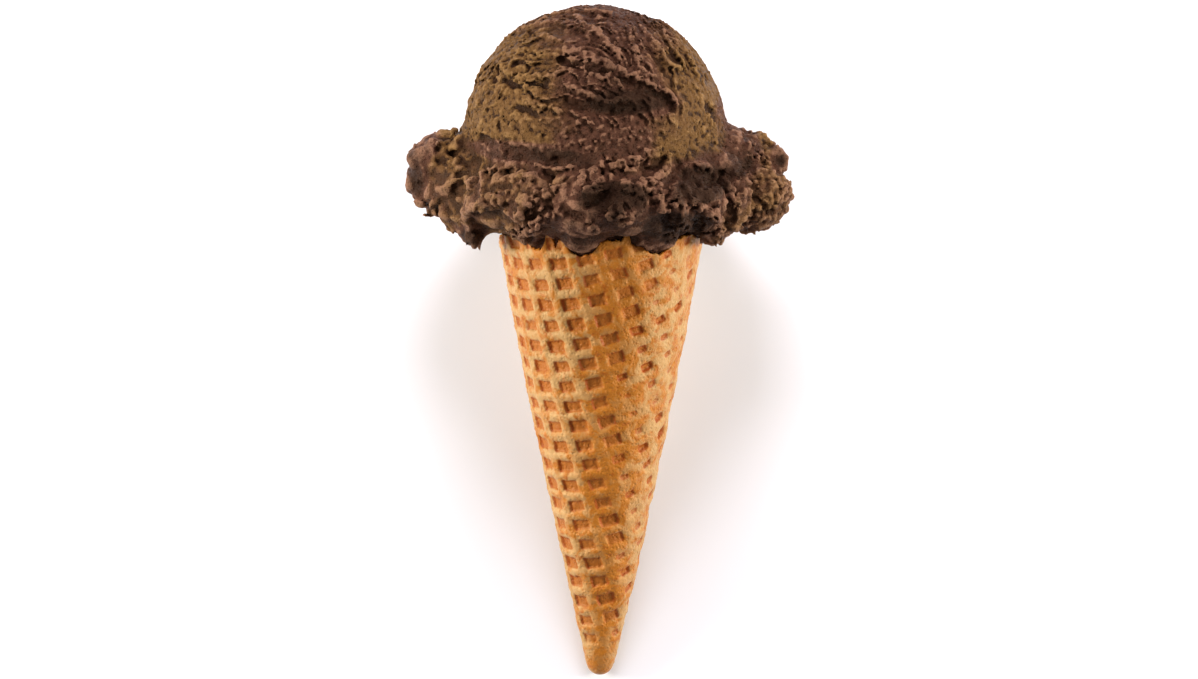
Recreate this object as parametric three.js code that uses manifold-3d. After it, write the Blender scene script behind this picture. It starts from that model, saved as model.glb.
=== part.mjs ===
// Ice cream cone lying on its back: a rolled wafer cone that holds one scoop of chocolate ice cream.
//
// Lengths are millimetres. Both pieces are shaped upright, with the nose of the cone at the origin and
// its axis along +Z. A bearing turns about that axis: 0 is the shown front (-Y), +90 degrees is +X.
// The finished pair is then laid down, so that it rests on the nose and on two lumps at the back.

import * as THREE from 'three';
import { ImprovedNoise } from 'three/addons/math/ImprovedNoise.js';
import { mergeGeometries, mergeVertices } from 'three/addons/utils/BufferGeometryUtils.js';
import Module from 'manifold-3d';

const { degToRad, lerp, clamp, smoothstep } = THREE.MathUtils;

// Wafer cone
const HALF_ANGLE = degToRad(11.3);
const NOSE_RADIUS = 3.7;
const CONE_LENGTH = 119.8; // from the nose to the rim at the sides
const BARREL = 0.8; // how far the side bows out half way up
const WALL = 2.3;
const NOSE_FILL = 10; // the wafer is solid up to this height
const CONE_COLUMNS = 24;
const COURSES = 3; // flat lengths that make up the bowed side
const FRONT_RIM_RISE = 2.4; // the rim slants up towards the front
const RIM_RAGGEDNESS = 0.7;
const SEAM_STEP = 0.9; // the rolled sheet's outer edge stands this proud at the back
const SEAM_TURN = degToRad(3); // turn taken by that step
const SEAM_START = 20; // the step grows from nothing at the nose to full size at this height
const RIM_BAND = 12; // the teeth of the rim fade out over this length of the side

// Waffle pattern, pressed into the flat sheet before it is rolled
const CELL_WIDTH = 7.3;
const CELL_HEIGHT = 5.58;
const PATTERN_TURN = degToRad(12.9);
const PATTERN_SHEAR = 0.058;
const NOSE_COLUMN = 0.31; // the cone's sharp point, counted in cells
const NOSE_ROW = 23.76;
const CELL_DEPTH = 1.0;
const MOUTH_SHARE = { wide: 0.69, high: 0.66 }; // a recess at the surface, as shares of the cell
const FLOOR_SHARE = { wide: 0.5, high: 0.42 };
const CLEAR_SHARE = 0.75; // the part of a cell that must lie clear of the seam and the nose
const SMALLEST_CELL_RADIUS = 4; // the sheet is marked where the cone is wider than this
const NARROW_RADIUS = 8; // narrower than this, a recess bends round the cone in two facets
const OVERCUT = 0.6; // how far a recess is cut from outside the face

// Scoop of ice cream, its heights counted from the nose of the cone
const DOME = { x: -1.3, z: 147.3, radius: 34.2, height: 33.2 };
const COLLAR = { x: -0.6, z: 131.5, radius: 40, height: 10.5 };
const LUMP_BASE = 120; // the height from which each lump's low and high are counted
const LUMP_DEPTH = 11; // half of a lump's size across the collar
const LUMP_BLEND = 0.9;
// Lumps of the pressed-out skirt: bearing in degrees, reach from the axis, low and high, half width
const LUMPS = [
  { bearing: -90, reach: 51.5, low: 4.6, high: 28, width: 10.5 },
  { bearing: -107, reach: 46.5, low: 6, high: 27, width: 10 },
  { bearing: -78, reach: 45.5, low: 1, high: 24, width: 9 },
  { bearing: -83, reach: 41.5, low: 12, high: 30.4, width: 7 },
  { bearing: -69, reach: 40.5, low: -2.4, high: 16, width: 6 },
  { bearing: -49, reach: 42, low: 4.6, high: 21.5, width: 10 },
  { bearing: -42, reach: 32.5, low: -0.9, high: 9, width: 6 },
  { bearing: -30, reach: 41.5, low: 4.1, high: 21, width: 8.5 },
  { bearing: -10, reach: 32.5, low: -1.6, high: 9, width: 6.5 },
  { bearing: -8, reach: 42.5, low: 4, high: 22, width: 9 },
  { bearing: 11, reach: 42, low: 4.8, high: 22.5, width: 8 },
  { bearing: 27, reach: 41.5, low: 4, high: 22, width: 8 },
  { bearing: 32, reach: 32.5, low: -1.6, high: 9, width: 8 },
  { bearing: 46, reach: 41.5, low: 4.6, high: 23.5, width: 9 },
  { bearing: 66, reach: 42.5, low: -0.3, high: 25, width: 8.5 },
  { bearing: 84, reach: 50.6, low: 1.4, high: 21, width: 9.5 },
  { bearing: 97, reach: 48.8, low: 8, high: 28, width: 9.5 },
  { bearing: 88, reach: 41.5, low: 13, high: 29.6, width: 9 },
  { bearing: 121, reach: 43.5, low: 1, high: 24, width: 10.5 },
  { bearing: 155, reach: 47.4, low: 2, high: 22.5, width: 9.5 },
  { bearing: 180, reach: 42, low: 0.5, high: 23, width: 10 },
  { bearing: -155, reach: 47.4, low: 2, high: 22.5, width: 9.5 },
  { bearing: -129, reach: 44, low: 3, high: 25, width: 10.5 },
];
const MARKS_FADE = { from: 8, to: 16 }; // heights above the collar where drag marks replace crags
const SCOOP_HEART = new THREE.Vector3(-0.6, 0, 136); // every outer face is seen from this point
const SCOOP_FACETS = 15; // splits of each edge of the starting icosahedron
const CRAGS = { height: 2.6, size: 7 }; // lumpy relief of the skirt
const RIDGES = { height: 1.3, long: 16, short: 6.5, slope: degToRad(-24) }; // drag marks on the dome
const PLUG_DEPTH = 21; // ice cream pressed down into the mouth
const PLUG_HEAD = 12; // its overlap with the scoop above the rim
const PLUG_FOOT = { share: 0.6, rise: 0.8, shoulder: 5 }; // the rounded lower end of the plug
const GAP = 0.35; // clearance between the ice cream and the wafer

// Lying pose
const LIE_ANGLE = degToRad(17); // the cone's axis rises this much towards the scoop
const NOSE_LIFT = NOSE_RADIUS * (1 - Math.sin(LIE_ANGLE));
const ROOM = 400; // larger than the whole object

const NOSE_TO_POINT = NOSE_RADIUS / Math.sin(HALF_ANGLE) - NOSE_RADIUS;

const wasm = await Module();
wasm.setup();

// ---------------------------------------------------------------------------------------------------
// Solids

// Merges the shared points and drops the triangles that a turned shape folds up on its axis.
function closed(geometry) {
  geometry.deleteAttribute('normal');
  geometry.deleteAttribute('uv');
  const merged = mergeVertices(geometry, 1e-4);
  const corners = merged.index.array;
  const kept = [];
  for (let i = 0; i < corners.length; i += 3) {
    const [a, b, c] = corners.slice(i, i + 3);
    if (a !== b && b !== c && c !== a) kept.push(a, b, c);
  }
  return merged.setIndex(kept);
}

function toSolid(geometry) {
  const merged = closed(geometry);
  const vertProperties = new Float32Array(merged.attributes.position.array);
  const triVerts = new Uint32Array(merged.index.array);
  return new wasm.Manifold(new wasm.Mesh({ numProp: 3, vertProperties, triVerts }));
}

function toGeometry(solid) {
  const { vertProperties, triVerts } = solid.getMesh();
  const geometry = new THREE.BufferGeometry();
  geometry.setAttribute('position', new THREE.BufferAttribute(new Float32Array(vertProperties), 3));
  geometry.setIndex(new THREE.BufferAttribute(new Uint32Array(triVerts), 1));
  const faceted = geometry.toNonIndexed();
  faceted.computeVertexNormals();
  return faceted;
}

function movePoints(geometry, move) {
  const position = geometry.attributes.position;
  const point = new THREE.Vector3();
  for (let i = 0; i < position.count; i += 1) {
    point.fromBufferAttribute(position, i);
    move(point);
    position.setXYZ(i, point.x, point.y, point.z);
  }
  return geometry;
}

// A turned shape whose first column of points is at the back, on bearing -180 degrees.
function turned(profile, columns) {
  const points = profile.map(([radius, height]) => new THREE.Vector2(radius, height));
  return closed(new THREE.LatheGeometry(points, columns, -Math.PI, 2 * Math.PI)).rotateX(Math.PI / 2);
}

function onBearing(point, bearing, radius, height) {
  return point.set(radius * Math.sin(bearing), -radius * Math.cos(bearing), height);
}

// ---------------------------------------------------------------------------------------------------
// Wafer cone

function coneRadius(height) {
  const bow = BARREL * Math.sin((Math.PI * clamp(height, 0, CONE_LENGTH)) / CONE_LENGTH);
  return (height + NOSE_TO_POINT) * Math.tan(HALF_ANGLE) + bow;
}

// The broken top edge: a slow slant with a few irregular teeth.
function rimLift(bearing) {
  const slant = FRONT_RIM_RISE * Math.max(0, Math.cos(bearing));
  const broad = Math.sin(5 * bearing + 0.6) + 0.7 * Math.sin(9 * bearing - 1.1);
  const fine = 0.5 * Math.sin(14 * bearing);
  return slant + RIM_RAGGEDNESS * (broad + fine);
}

// The roll is a spiral: the sheet climbs outwards all the way round and drops again at its outer edge.
function spiralLift(share, height) {
  return SEAM_STEP * (share - 0.5) * clamp(height / SEAM_START, 0, 1);
}

// The cone without its waffle pattern, grown by the given amount on every side.
function coneBlank(grow) {
  const profile = [[0, 0]];
  const noseSteps = 3;
  for (let step = 1; step <= noseSteps; step += 1) {
    const turn = lerp(-Math.PI / 2, -HALF_ANGLE, step / noseSteps);
    profile.push([NOSE_RADIUS * Math.cos(turn), NOSE_RADIUS * (1 + Math.sin(turn))]);
  }
  for (let course = 1; course <= COURSES; course += 1) {
    const height = (CONE_LENGTH * course) / COURSES;
    profile.push([coneRadius(height), height]);
  }
  const thickness = WALL / Math.cos(HALF_ANGLE);
  for (let course = COURSES; course >= 1; course -= 1) {
    const height = (CONE_LENGTH * course) / COURSES;
    profile.push([coneRadius(height) - thickness, height]);
  }
  profile.push([0, NOSE_FILL]);
  const outerPoints = noseSteps + COURSES + 1;
  const grown = profile.map(([radius, height], row) => {
    const sideways = row < outerPoints ? grow : -grow;
    const atRim = row === outerPoints - 1 || row === outerPoints;
    return [radius > 0 ? radius + sideways : 0, height + (atRim ? grow : 0)];
  });
  return toSolid(movePoints(turned(grown, CONE_COLUMNS), rollUp));
}

// Moves the even columns of a turned shape to those of the roll, with its step at the back.
function rollUp(point) {
  const radius = Math.hypot(point.x, point.y);
  if (radius < 1e-6) return;
  const turn = (Math.atan2(point.x, -point.y) + Math.PI) / (2 * Math.PI);
  const column = Math.round(turn * CONE_COLUMNS) % CONE_COLUMNS;
  const share = column / (CONE_COLUMNS - 1);
  const bearing = -Math.PI + share * (2 * Math.PI - SEAM_TURN);
  const isOuter = radius > coneRadius(point.z) - WALL / 2;
  const lift = isOuter ? spiralLift(share, point.z) : 0;
  const nearRim = clamp(1 - (CONE_LENGTH - point.z) / RIM_BAND, 0, 1);
  onBearing(point, bearing, radius + lift, point.z + nearRim * rimLift(bearing));
}

// Rolls a point of the flat waffle sheet onto the cone, at a height above its outer face.
function wrapCell(column, row, proud, point) {
  const down = (row - NOSE_ROW) * CELL_HEIGHT;
  const across = (column - NOSE_COLUMN) * CELL_WIDTH + PATTERN_SHEAR * down;
  const sheetX = across * Math.cos(PATTERN_TURN) + down * Math.sin(PATTERN_TURN);
  const sheetY = across * Math.sin(PATTERN_TURN) - down * Math.cos(PATTERN_TURN);
  const fromPoint = Math.hypot(sheetX, sheetY);
  const bearing = Math.atan2(sheetX, sheetY) / Math.sin(HALF_ANGLE);
  const height = fromPoint * Math.cos(HALF_ANGLE) - NOSE_TO_POINT;
  const share = (bearing + Math.PI) / (2 * Math.PI - SEAM_TURN);
  const radius = coneRadius(height) + spiralLift(clamp(share, 0, 1), height) + proud;
  onBearing(point, bearing, radius, height);
  return { bearing, height };
}

// One tapered recess as a solid to cut away, with more facets where the cone is narrow.
function cellCutter(column, row) {
  const middle = wrapCell(column, row, 0, new THREE.Vector3());
  const facets = coneRadius(middle.height) > NARROW_RADIUS ? 1 : 2;
  const cutter = closed(new THREE.BoxGeometry(1, 1, 1, facets, 1, 1));
  return movePoints(cutter, (point) => {
    const share = point.z > 0 ? MOUTH_SHARE : FLOOR_SHARE;
    const proud = point.z > 0 ? OVERCUT : -CELL_DEPTH;
    // Rows count towards the nose, so the box's +Y is the smaller row.
    wrapCell(column + point.x * share.wide, row - point.y * share.high, proud, point);
  });
}

function isMarked(column, row) {
  const corner = new THREE.Vector3();
  const farthest = Math.PI - SEAM_TURN;
  const reach = CLEAR_SHARE / 2;
  for (const side of [-reach, reach]) {
    for (const end of [-reach, reach]) {
      const { bearing, height } = wrapCell(column + side, row + end, 0, corner);
      if (Math.abs(bearing) > farthest) return false;
      if (coneRadius(height) < SMALLEST_CELL_RADIUS) return false;
    }
  }
  return wrapCell(column, row, 0, corner).height < CONE_LENGTH + CELL_HEIGHT;
}

function waffleCutters() {
  const cutters = [];
  const span = Math.ceil((CONE_LENGTH + NOSE_TO_POINT) / CELL_HEIGHT);
  for (let row = -span; row < span; row += 1) {
    for (let column = -span; column <= span; column += 1) {
      if (isMarked(column, row)) cutters.push(cellCutter(column, row));
    }
  }
  return toSolid(mergeGeometries(cutters));
}

// ---------------------------------------------------------------------------------------------------
// Scoop

// Distance to an ellipsoid, negative inside it.
function ellipsoidGap(x, y, z, rx, ry, rz) {
  const scaled = Math.hypot(x / rx, y / ry, z / rz);
  const slope = Math.hypot(x / rx ** 2, y / ry ** 2, z / rz ** 2);
  return slope > 0 ? (scaled * (scaled - 1)) / slope : -Math.min(rx, ry, rz);
}

function lumpGap(point, lump) {
  const bearing = degToRad(lump.bearing);
  const outward = point.x * Math.sin(bearing) - point.y * Math.cos(bearing);
  const sideways = point.x * Math.cos(bearing) + point.y * Math.sin(bearing);
  const middle = LUMP_BASE + (lump.low + lump.high) / 2;
  const tall = (lump.high - lump.low) / 2;
  const fromMiddle = outward - (lump.reach - LUMP_DEPTH);
  return ellipsoidGap(fromMiddle, sideways, point.z - middle, LUMP_DEPTH, lump.width, tall);
}

const roughness = new ImprovedNoise();

// Lumps all over the skirt, and long marks across the dome where the scoop dragged over it.
function relief({ x, y, z }) {
  const { size } = CRAGS;
  const crags = CRAGS.height * roughness.noise(x / size, y / size, z / size);
  const along = x * Math.cos(RIDGES.slope) + z * Math.sin(RIDGES.slope);
  const across = z * Math.cos(RIDGES.slope) - x * Math.sin(RIDGES.slope);
  const marks = roughness.noise(along / RIDGES.long, y / RIDGES.long, across / RIDGES.short);
  const marked = smoothstep(z, COLLAR.z + MARKS_FADE.from, COLLAR.z + MARKS_FADE.to);
  return lerp(crags, RIDGES.height * marks, marked);
}

// The blended distance to the dome, the collar and all the lumps, with crags.
function scoopGap(point) {
  const { x, y, z } = point;
  const gaps = LUMPS.map((lump) => lumpGap(point, lump));
  gaps.push(ellipsoidGap(x - DOME.x, y, z - DOME.z, DOME.radius, DOME.radius, DOME.height));
  gaps.push(ellipsoidGap(x - COLLAR.x, y, z - COLLAR.z, COLLAR.radius, COLLAR.radius, COLLAR.height));
  const nearest = Math.min(...gaps);
  const blend = gaps.reduce((sum, gap) => sum + Math.exp((nearest - gap) / LUMP_BLEND), 0);
  return nearest - LUMP_BLEND * Math.log(blend) + relief(point);
}

// The outermost crossing of the scoop's face on a ray from its heart.
function scoopReach(direction) {
  const point = new THREE.Vector3();
  const gapAt = (reach) => scoopGap(point.copy(direction).multiplyScalar(reach).add(SCOOP_HEART));
  const stride = 0.5;
  let inside = 2 * DOME.radius;
  while (gapAt(inside) > 0) inside -= stride;
  let outside = inside + stride;
  const halvings = 12;
  for (let count = 0; count < halvings; count += 1) {
    const middle = (inside + outside) / 2;
    if (gapAt(middle) > 0) outside = middle;
    else inside = middle;
  }
  return inside;
}

function scoopBody() {
  const ball = closed(new THREE.IcosahedronGeometry(1, SCOOP_FACETS - 1));
  return toSolid(
    movePoints(ball, (point) => {
      const reach = scoopReach(point.normalize());
      point.multiplyScalar(reach).add(SCOOP_HEART);
    }),
  );
}

// The part inside the mouth of the cone. It reaches into the wafer's wall, and is cut back from it.
function plug() {
  const foot = CONE_LENGTH - PLUG_DEPTH;
  const head = CONE_LENGTH + PLUG_HEAD;
  const wallMiddle = (height) => coneRadius(height) - WALL / 2;
  const profile = [
    [0, foot],
    [PLUG_FOOT.share * wallMiddle(foot), foot + PLUG_FOOT.rise],
    [wallMiddle(foot), foot + PLUG_FOOT.shoulder],
    [wallMiddle(head), head],
    [0, head],
  ];
  return toSolid(turned(profile, CONE_COLUMNS));
}

// All that lies above the floor once the object is laid down.
function aboveFloor() {
  const room = new THREE.BoxGeometry(ROOM, ROOM, ROOM).translate(0, 0, ROOM / 2 - NOSE_LIFT);
  return toSolid(room.rotateX(Math.PI / 2 - LIE_ANGLE));
}

// ---------------------------------------------------------------------------------------------------
// Object

function piece(name, solid, color, roughness) {
  const material = new THREE.MeshStandardMaterial({ color, roughness, metalness: 0 });
  const mesh = new THREE.Mesh(toGeometry(solid), material);
  mesh.name = name;
  return mesh;
}

const cone = coneBlank(0).subtract(waffleCutters());
const scoop = scoopBody().add(plug()).subtract(coneBlank(GAP)).intersect(aboveFloor());

const upright = new THREE.Group();
upright.add(piece('cone', cone, 0xd9a066, 0.75));
upright.add(piece('scoop', scoop, 0x5d4030, 0.6));
upright.rotation.x = LIE_ANGLE - Math.PI / 2;
upright.position.z = NOSE_LIFT;

// The frame's origin is under the middle of the object, on the surface it lies on.
const group = new THREE.Group();
group.add(upright);
group.updateMatrixWorld(true);
const middle = new THREE.Box3().setFromObject(group, true).getCenter(new THREE.Vector3());
upright.position.x = -middle.x;
upright.position.y = -middle.y;

export default group;
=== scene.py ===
"""Looks for a chocolate ice cream in a rolled wafer cone, lying on its back on a pale table.

Both pieces are first made upright, in millimetres: the cone's nose is at the origin, its axis is +Z,
its front faces -Y, and bearings turn from the front towards +X. Lying then lays them in the frame.
"""

import logging
import math
from collections.abc import Callable
from concurrent.futures import ThreadPoolExecutor
from dataclasses import dataclass, field
from enum import Enum

import bpy
import numpy as np
from mathutils import Matrix, Vector

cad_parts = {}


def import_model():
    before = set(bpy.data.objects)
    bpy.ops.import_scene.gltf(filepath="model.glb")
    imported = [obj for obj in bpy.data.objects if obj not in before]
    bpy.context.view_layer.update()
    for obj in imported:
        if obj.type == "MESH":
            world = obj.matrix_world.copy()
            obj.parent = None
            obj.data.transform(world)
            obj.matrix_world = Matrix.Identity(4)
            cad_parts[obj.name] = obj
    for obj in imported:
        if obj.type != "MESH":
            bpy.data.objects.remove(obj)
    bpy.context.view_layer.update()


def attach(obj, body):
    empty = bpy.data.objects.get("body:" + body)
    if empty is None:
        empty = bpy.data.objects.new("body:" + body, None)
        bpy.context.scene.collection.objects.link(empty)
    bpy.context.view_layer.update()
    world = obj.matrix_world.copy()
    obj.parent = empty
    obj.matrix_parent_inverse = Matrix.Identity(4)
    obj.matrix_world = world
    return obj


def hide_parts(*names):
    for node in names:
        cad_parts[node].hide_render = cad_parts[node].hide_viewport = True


LOG = logging.getLogger("ice_cream_cone")
MM = 0.001
THREADS = 4
CHUNK = 40000

Points = np.ndarray
Triple = tuple[float, float, float]
Colour = tuple[float, float, float, float]
Pair = tuple[np.ndarray, np.ndarray]
Work = Callable[[Points], np.ndarray]


# ----------------------------------------------------------------------------------------------------
# Arithmetic shared by the two pieces


def smooth_step(value: np.ndarray, low: float, high: float) -> np.ndarray:
    """Returns 0 below low, 1 above high and a smooth climb between them."""
    share = np.clip((value - low) / (high - low), 0.0, 1.0)
    return share * share * (3.0 - 2.0 * share)


def blend(one: np.ndarray, other: np.ndarray, share: np.ndarray) -> np.ndarray:
    """Returns the mix of one and other, all of other where share is 1."""
    return one + (other - one) * share


def bearing_of(points: Points) -> np.ndarray:
    """Returns each point's bearing round the axis, in radians from the front."""
    return np.arctan2(points[:, 0], -points[:, 1])


def in_chunks(work: Work, points: Points) -> np.ndarray:
    """Runs work over many points, a chunk at a time, on all cores.

    Args:
        work: The function that turns points into one number each.
        points: The points, one to a row.

    Returns:
        The numbers, in the order of the points.
    """
    chunks = np.array_split(points.astype(np.float32), max(1, len(points) // CHUNK))
    with ThreadPoolExecutor(THREADS) as pool:
        return np.concatenate(list(pool.map(work, chunks)))


class Grain:
    """Seeded noise in three dimensions, with a cell of about one unit."""

    TABLE = 256
    REACH = 0.7

    def __init__(self, seed: int) -> None:
        """Draws the tables that the noise is made from."""
        draw = np.random.default_rng(seed)
        self.order = draw.permutation(self.TABLE).astype(np.int32)
        slopes = draw.normal(size=(self.TABLE, 3))
        slopes /= np.linalg.norm(slopes, axis=1, keepdims=True)
        self.slopes = slopes.astype(np.float32)
        self.seats = draw.uniform(0.17, 0.83, size=(self.TABLE, 3)).astype(np.float32)
        self.luck = draw.uniform(size=self.TABLE).astype(np.float32)
        self.turn = np.linalg.qr(draw.normal(size=(3, 3)))[0].astype(np.float32)

    def _pick(self, cell: np.ndarray) -> np.ndarray:
        """Returns the table row that belongs to each whole-numbered cell."""
        wrap = self.TABLE - 1
        mixed = self.order[cell[:, 0] & wrap]
        mixed = self.order[(mixed + cell[:, 1]) & wrap]
        return self.order[(mixed + cell[:, 2]) & wrap]

    def waves(self, points: Points) -> np.ndarray:
        """Returns smooth noise between about -1 and 1."""
        points = points @ self.turn
        cell = np.floor(points).astype(np.int32)
        within = points - cell
        fade = within**3 * (within * (within * 6.0 - 15.0) + 10.0)
        total = np.zeros(len(points), np.float32)
        for corner in np.ndindex(2, 2, 2):
            step = np.array(corner, np.int32)
            slope = self.slopes[self._pick(cell + step)]
            rise = np.einsum("ij,ij->i", within - step, slope)
            total += rise * np.prod(np.where(step, fade, 1.0 - fade), axis=1)
        return total * 1.7

    def layered(self, points: Points, layers: int) -> np.ndarray:
        """Returns smooth noise with finer and weaker layers added."""
        total = np.zeros(len(points), np.float32)
        for layer in range(layers):
            total += self.waves(points * 2.1**layer + 17.3 * layer) * 0.5**layer
        return total

    def nodules(self, points: Points, share: float = 1.0) -> np.ndarray:
        """Scatters one round knob in each cell, or in some of them.

        Args:
            points: The points, in cells.
            share: The share of the cells that hold a knob.

        Returns:
            1 in the middle of a knob, falling to 0 where the knobs end or meet in a crease.
        """
        points = points @ self.turn
        cell = np.floor(points - 0.5).astype(np.int32)
        within = points - cell
        highest = np.zeros(len(points), np.float32)
        for corner in np.ndindex(2, 2, 2):
            step = np.array(corner, np.int32)
            row = self._pick(cell + step)
            away = self.seats[row] + step - within
            span = np.einsum("ij,ij->i", away, away)
            knob = 1.0 - span / self.REACH**2
            highest = np.maximum(highest, np.where(self.luck[row] < share, knob, 0.0))
        return highest


@dataclass(frozen=True)
class Lying:
    """How the upright ice cream is laid on its back: turned, then moved. Millimetres and radians."""

    tilt: float = math.radians(17.0)
    across: float = 1.087
    along: float = -87.105
    lift: float = 2.618

    def place(self, points: Points) -> Points:
        """Returns upright points in millimetres as points of the frame, in metres."""
        sine, cosine = math.sin(self.tilt), math.cos(self.tilt)
        x, y, z = points.T
        laid = np.stack([x, z * cosine + y * sine, z * sine - y * cosine], axis=1)
        return (laid + np.array([self.across, self.along, self.lift])) * MM

    def height(self, points: Points) -> np.ndarray:
        """Returns how high upright points end up above the table, in millimetres."""
        return points[:, 2] * math.sin(self.tilt) - points[:, 1] * math.cos(self.tilt) + self.lift

    def direction(self, upright: Triple) -> Vector:
        """Returns an upright direction as a direction in the frame."""
        here, there = self.place(np.array([(0.0, 0.0, 0.0), upright]))
        return Vector(there - here).normalized()


# ----------------------------------------------------------------------------------------------------
# Meshes


@dataclass(frozen=True)
class SurfaceNet:
    """Turns a gap function, negative inside a shape, into a mesh of small quads."""

    step: float
    bands: tuple[float, ...] = (6.0, 2.6)

    def weave(self, gap: Work, low: Points, high: Points) -> Pair:
        """Meshes the face where the gap is zero.

        Args:
            gap: The signed distance, roughly, in millimetres.
            low: The lowest corner of the space to search.
            high: The highest corner of it.

        Returns:
            The mesh's points and its quads.
        """
        spacing = self.step * 2 ** len(self.bands)
        shape = tuple(int(count) for count in np.ceil((high - low) / spacing) + 1)
        nodes = np.argwhere(np.ones(shape, bool))
        values = in_chunks(gap, low + nodes * spacing).reshape(shape)
        for band in self.bands:
            spacing /= 2.0
            values = self._finer(gap, low, values, band, spacing)
        points, quads = self._stitch(values)
        return self._largest(low + points * spacing, quads)

    @staticmethod
    def _finer(gap: Work, low: Points, coarse: np.ndarray, band: float, step: float) -> np.ndarray:
        """Halves the grid's step and works out the gap again near the face.

        Args:
            gap: The gap function.
            low: The grid's lowest corner.
            coarse: The gaps on the coarse grid.
            band: The largest gap that counts as near.
            step: The new step.

        Returns:
            The gaps on the new grid.
        """
        near = np.abs(coarse) < band
        for axis in range(3):
            grown = near.copy()
            ahead = [slice(None)] * 3
            behind = [slice(None)] * 3
            ahead[axis], behind[axis] = slice(1, None), slice(None, -1)
            grown[tuple(ahead)] |= near[tuple(behind)]
            grown[tuple(behind)] |= near[tuple(ahead)]
            near = grown
        room = tuple(slice(0, 2 * count - 1) for count in coarse.shape)
        for axis in range(3):
            coarse = np.repeat(coarse, 2, axis=axis)
            near = np.repeat(near, 2, axis=axis)
        fine, near = coarse[room].copy(), near[room]
        fine[near] = in_chunks(gap, low + np.argwhere(near) * step)
        return fine

    @staticmethod
    def _stitch(values: np.ndarray) -> Pair:
        """Puts a point in each cell that the face crosses and a quad across each crossed edge.

        Args:
            values: The gap at each node of the grid.

        Returns:
            The points, in steps of the grid, and the quads.
        """
        inside = values < 0
        corners = [np.array(corner) for corner in np.ndindex(2, 2, 2)]
        size = np.array(values.shape) - 1
        count = np.zeros(size, np.uint8)
        for dx, dy, dz in corners:
            count += inside[dx : dx + size[0], dy : dy + size[1], dz : dz + size[2]]
        cells = np.argwhere((count > 0) & (count < 8))
        number = np.full(size, -1, np.int32)
        number[tuple(cells.T)] = np.arange(len(cells))
        held = [values[tuple((cells + corner).T)] for corner in corners]
        total = np.zeros((len(cells), 3))
        crossings = np.zeros(len(cells))
        for first, start in enumerate(corners):
            for second, end in enumerate(corners):
                if second <= first or np.abs(end - start).sum() != 1:
                    continue
                crossed = (held[first] < 0) != (held[second] < 0)
                span = np.where(crossed, held[first] - held[second], 1.0)
                share = held[first] / span
                total += np.where(crossed[:, None], start + share[:, None] * (end - start), 0.0)
                crossings += crossed
        points = cells + total / crossings[:, None]
        quads = []
        for axis in range(3):
            one, two = (axis + 1) % 3, (axis + 2) % 3
            here = [slice(1, -1)] * 3
            here[axis] = slice(0, -1)
            there = list(here)
            there[axis] = slice(1, None)
            before, after = inside[tuple(here)], inside[tuple(there)]
            for leaving in (True, False):
                edges = np.argwhere((before == leaving) & (after != leaving))
                edges[:, one] += 1
                edges[:, two] += 1
                ring = []
                for back_one, back_two in ((1, 1), (0, 1), (0, 0), (1, 0)):
                    cell = edges.copy()
                    cell[:, one] -= back_one
                    cell[:, two] -= back_two
                    ring.append(number[tuple(cell.T)])
                quads.append(np.stack(ring if leaving else ring[::-1], axis=1))
        return points, np.concatenate(quads)

    @staticmethod
    def _largest(points: Points, quads: np.ndarray) -> Pair:
        """Keeps only the largest connected part of a mesh."""
        label = np.arange(len(points))
        edges = np.concatenate([quads[:, [0, 1]], quads[:, [1, 2]], quads[:, [2, 3]]])
        while True:
            lower = np.minimum(label[edges[:, 0]], label[edges[:, 1]])
            before = label.copy()
            np.minimum.at(label, edges[:, 0], lower)
            np.minimum.at(label, edges[:, 1], lower)
            label = label[label]
            if np.array_equal(label, before):
                break
        kept = label == np.bincount(label).argmax()
        number = np.cumsum(kept) - 1
        return points[kept], number[quads[kept[quads[:, 0]]]]


def make_piece(name: str, points: Points, quads: np.ndarray, most_faces: int) -> bpy.types.Object:
    """Makes a smooth-shaded object, thinned to at most so many triangles.

    Args:
        name: The piece's name.
        points: Its points, in millimetres, because thinning is coarse on points in metres.
        quads: Its quads, as rows of point numbers.
        most_faces: The most triangles that it may keep.

    Returns:
        The object, linked to the scene.
    """
    mesh = bpy.data.meshes.new(name)
    mesh.vertices.add(len(points))
    mesh.vertices.foreach_set("co", points.astype(np.float32).ravel())
    mesh.loops.add(quads.size)
    mesh.loops.foreach_set("vertex_index", quads.astype(np.int32).ravel())
    mesh.polygons.add(len(quads))
    mesh.polygons.foreach_set("loop_start", np.arange(0, quads.size, 4, dtype=np.int32))
    mesh.update(calc_edges=True)
    mesh.validate()
    piece = bpy.data.objects.new(name, mesh)
    bpy.context.scene.collection.objects.link(piece)
    triangles = 2 * len(quads)
    if triangles > most_faces:
        thin = piece.modifiers.new("Thin", "DECIMATE")
        thin.ratio = most_faces / triangles
        held = piece.evaluated_get(bpy.context.evaluated_depsgraph_get())
        thinned = bpy.data.meshes.new_from_object(held)
        piece.modifiers.clear()
        piece.data = thinned
        bpy.data.meshes.remove(mesh)
        thinned.name = name
    piece.data.polygons.foreach_set("use_smooth", np.ones(len(piece.data.polygons), bool))
    return piece


def write_mask(piece: bpy.types.Object, name: str, values: np.ndarray) -> None:
    """Stores one number for each of a piece's points, for its material to read."""
    mask = piece.data.attributes.new(name, "FLOAT", "POINT")
    mask.data.foreach_set("value", values.astype(np.float32))


def points_of(piece: bpy.types.Object) -> Points:
    """Returns a piece's points, one to a row."""
    flat = np.empty(3 * len(piece.data.vertices), np.float32)
    piece.data.vertices.foreach_get("co", flat)
    return flat.reshape(-1, 3)


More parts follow.
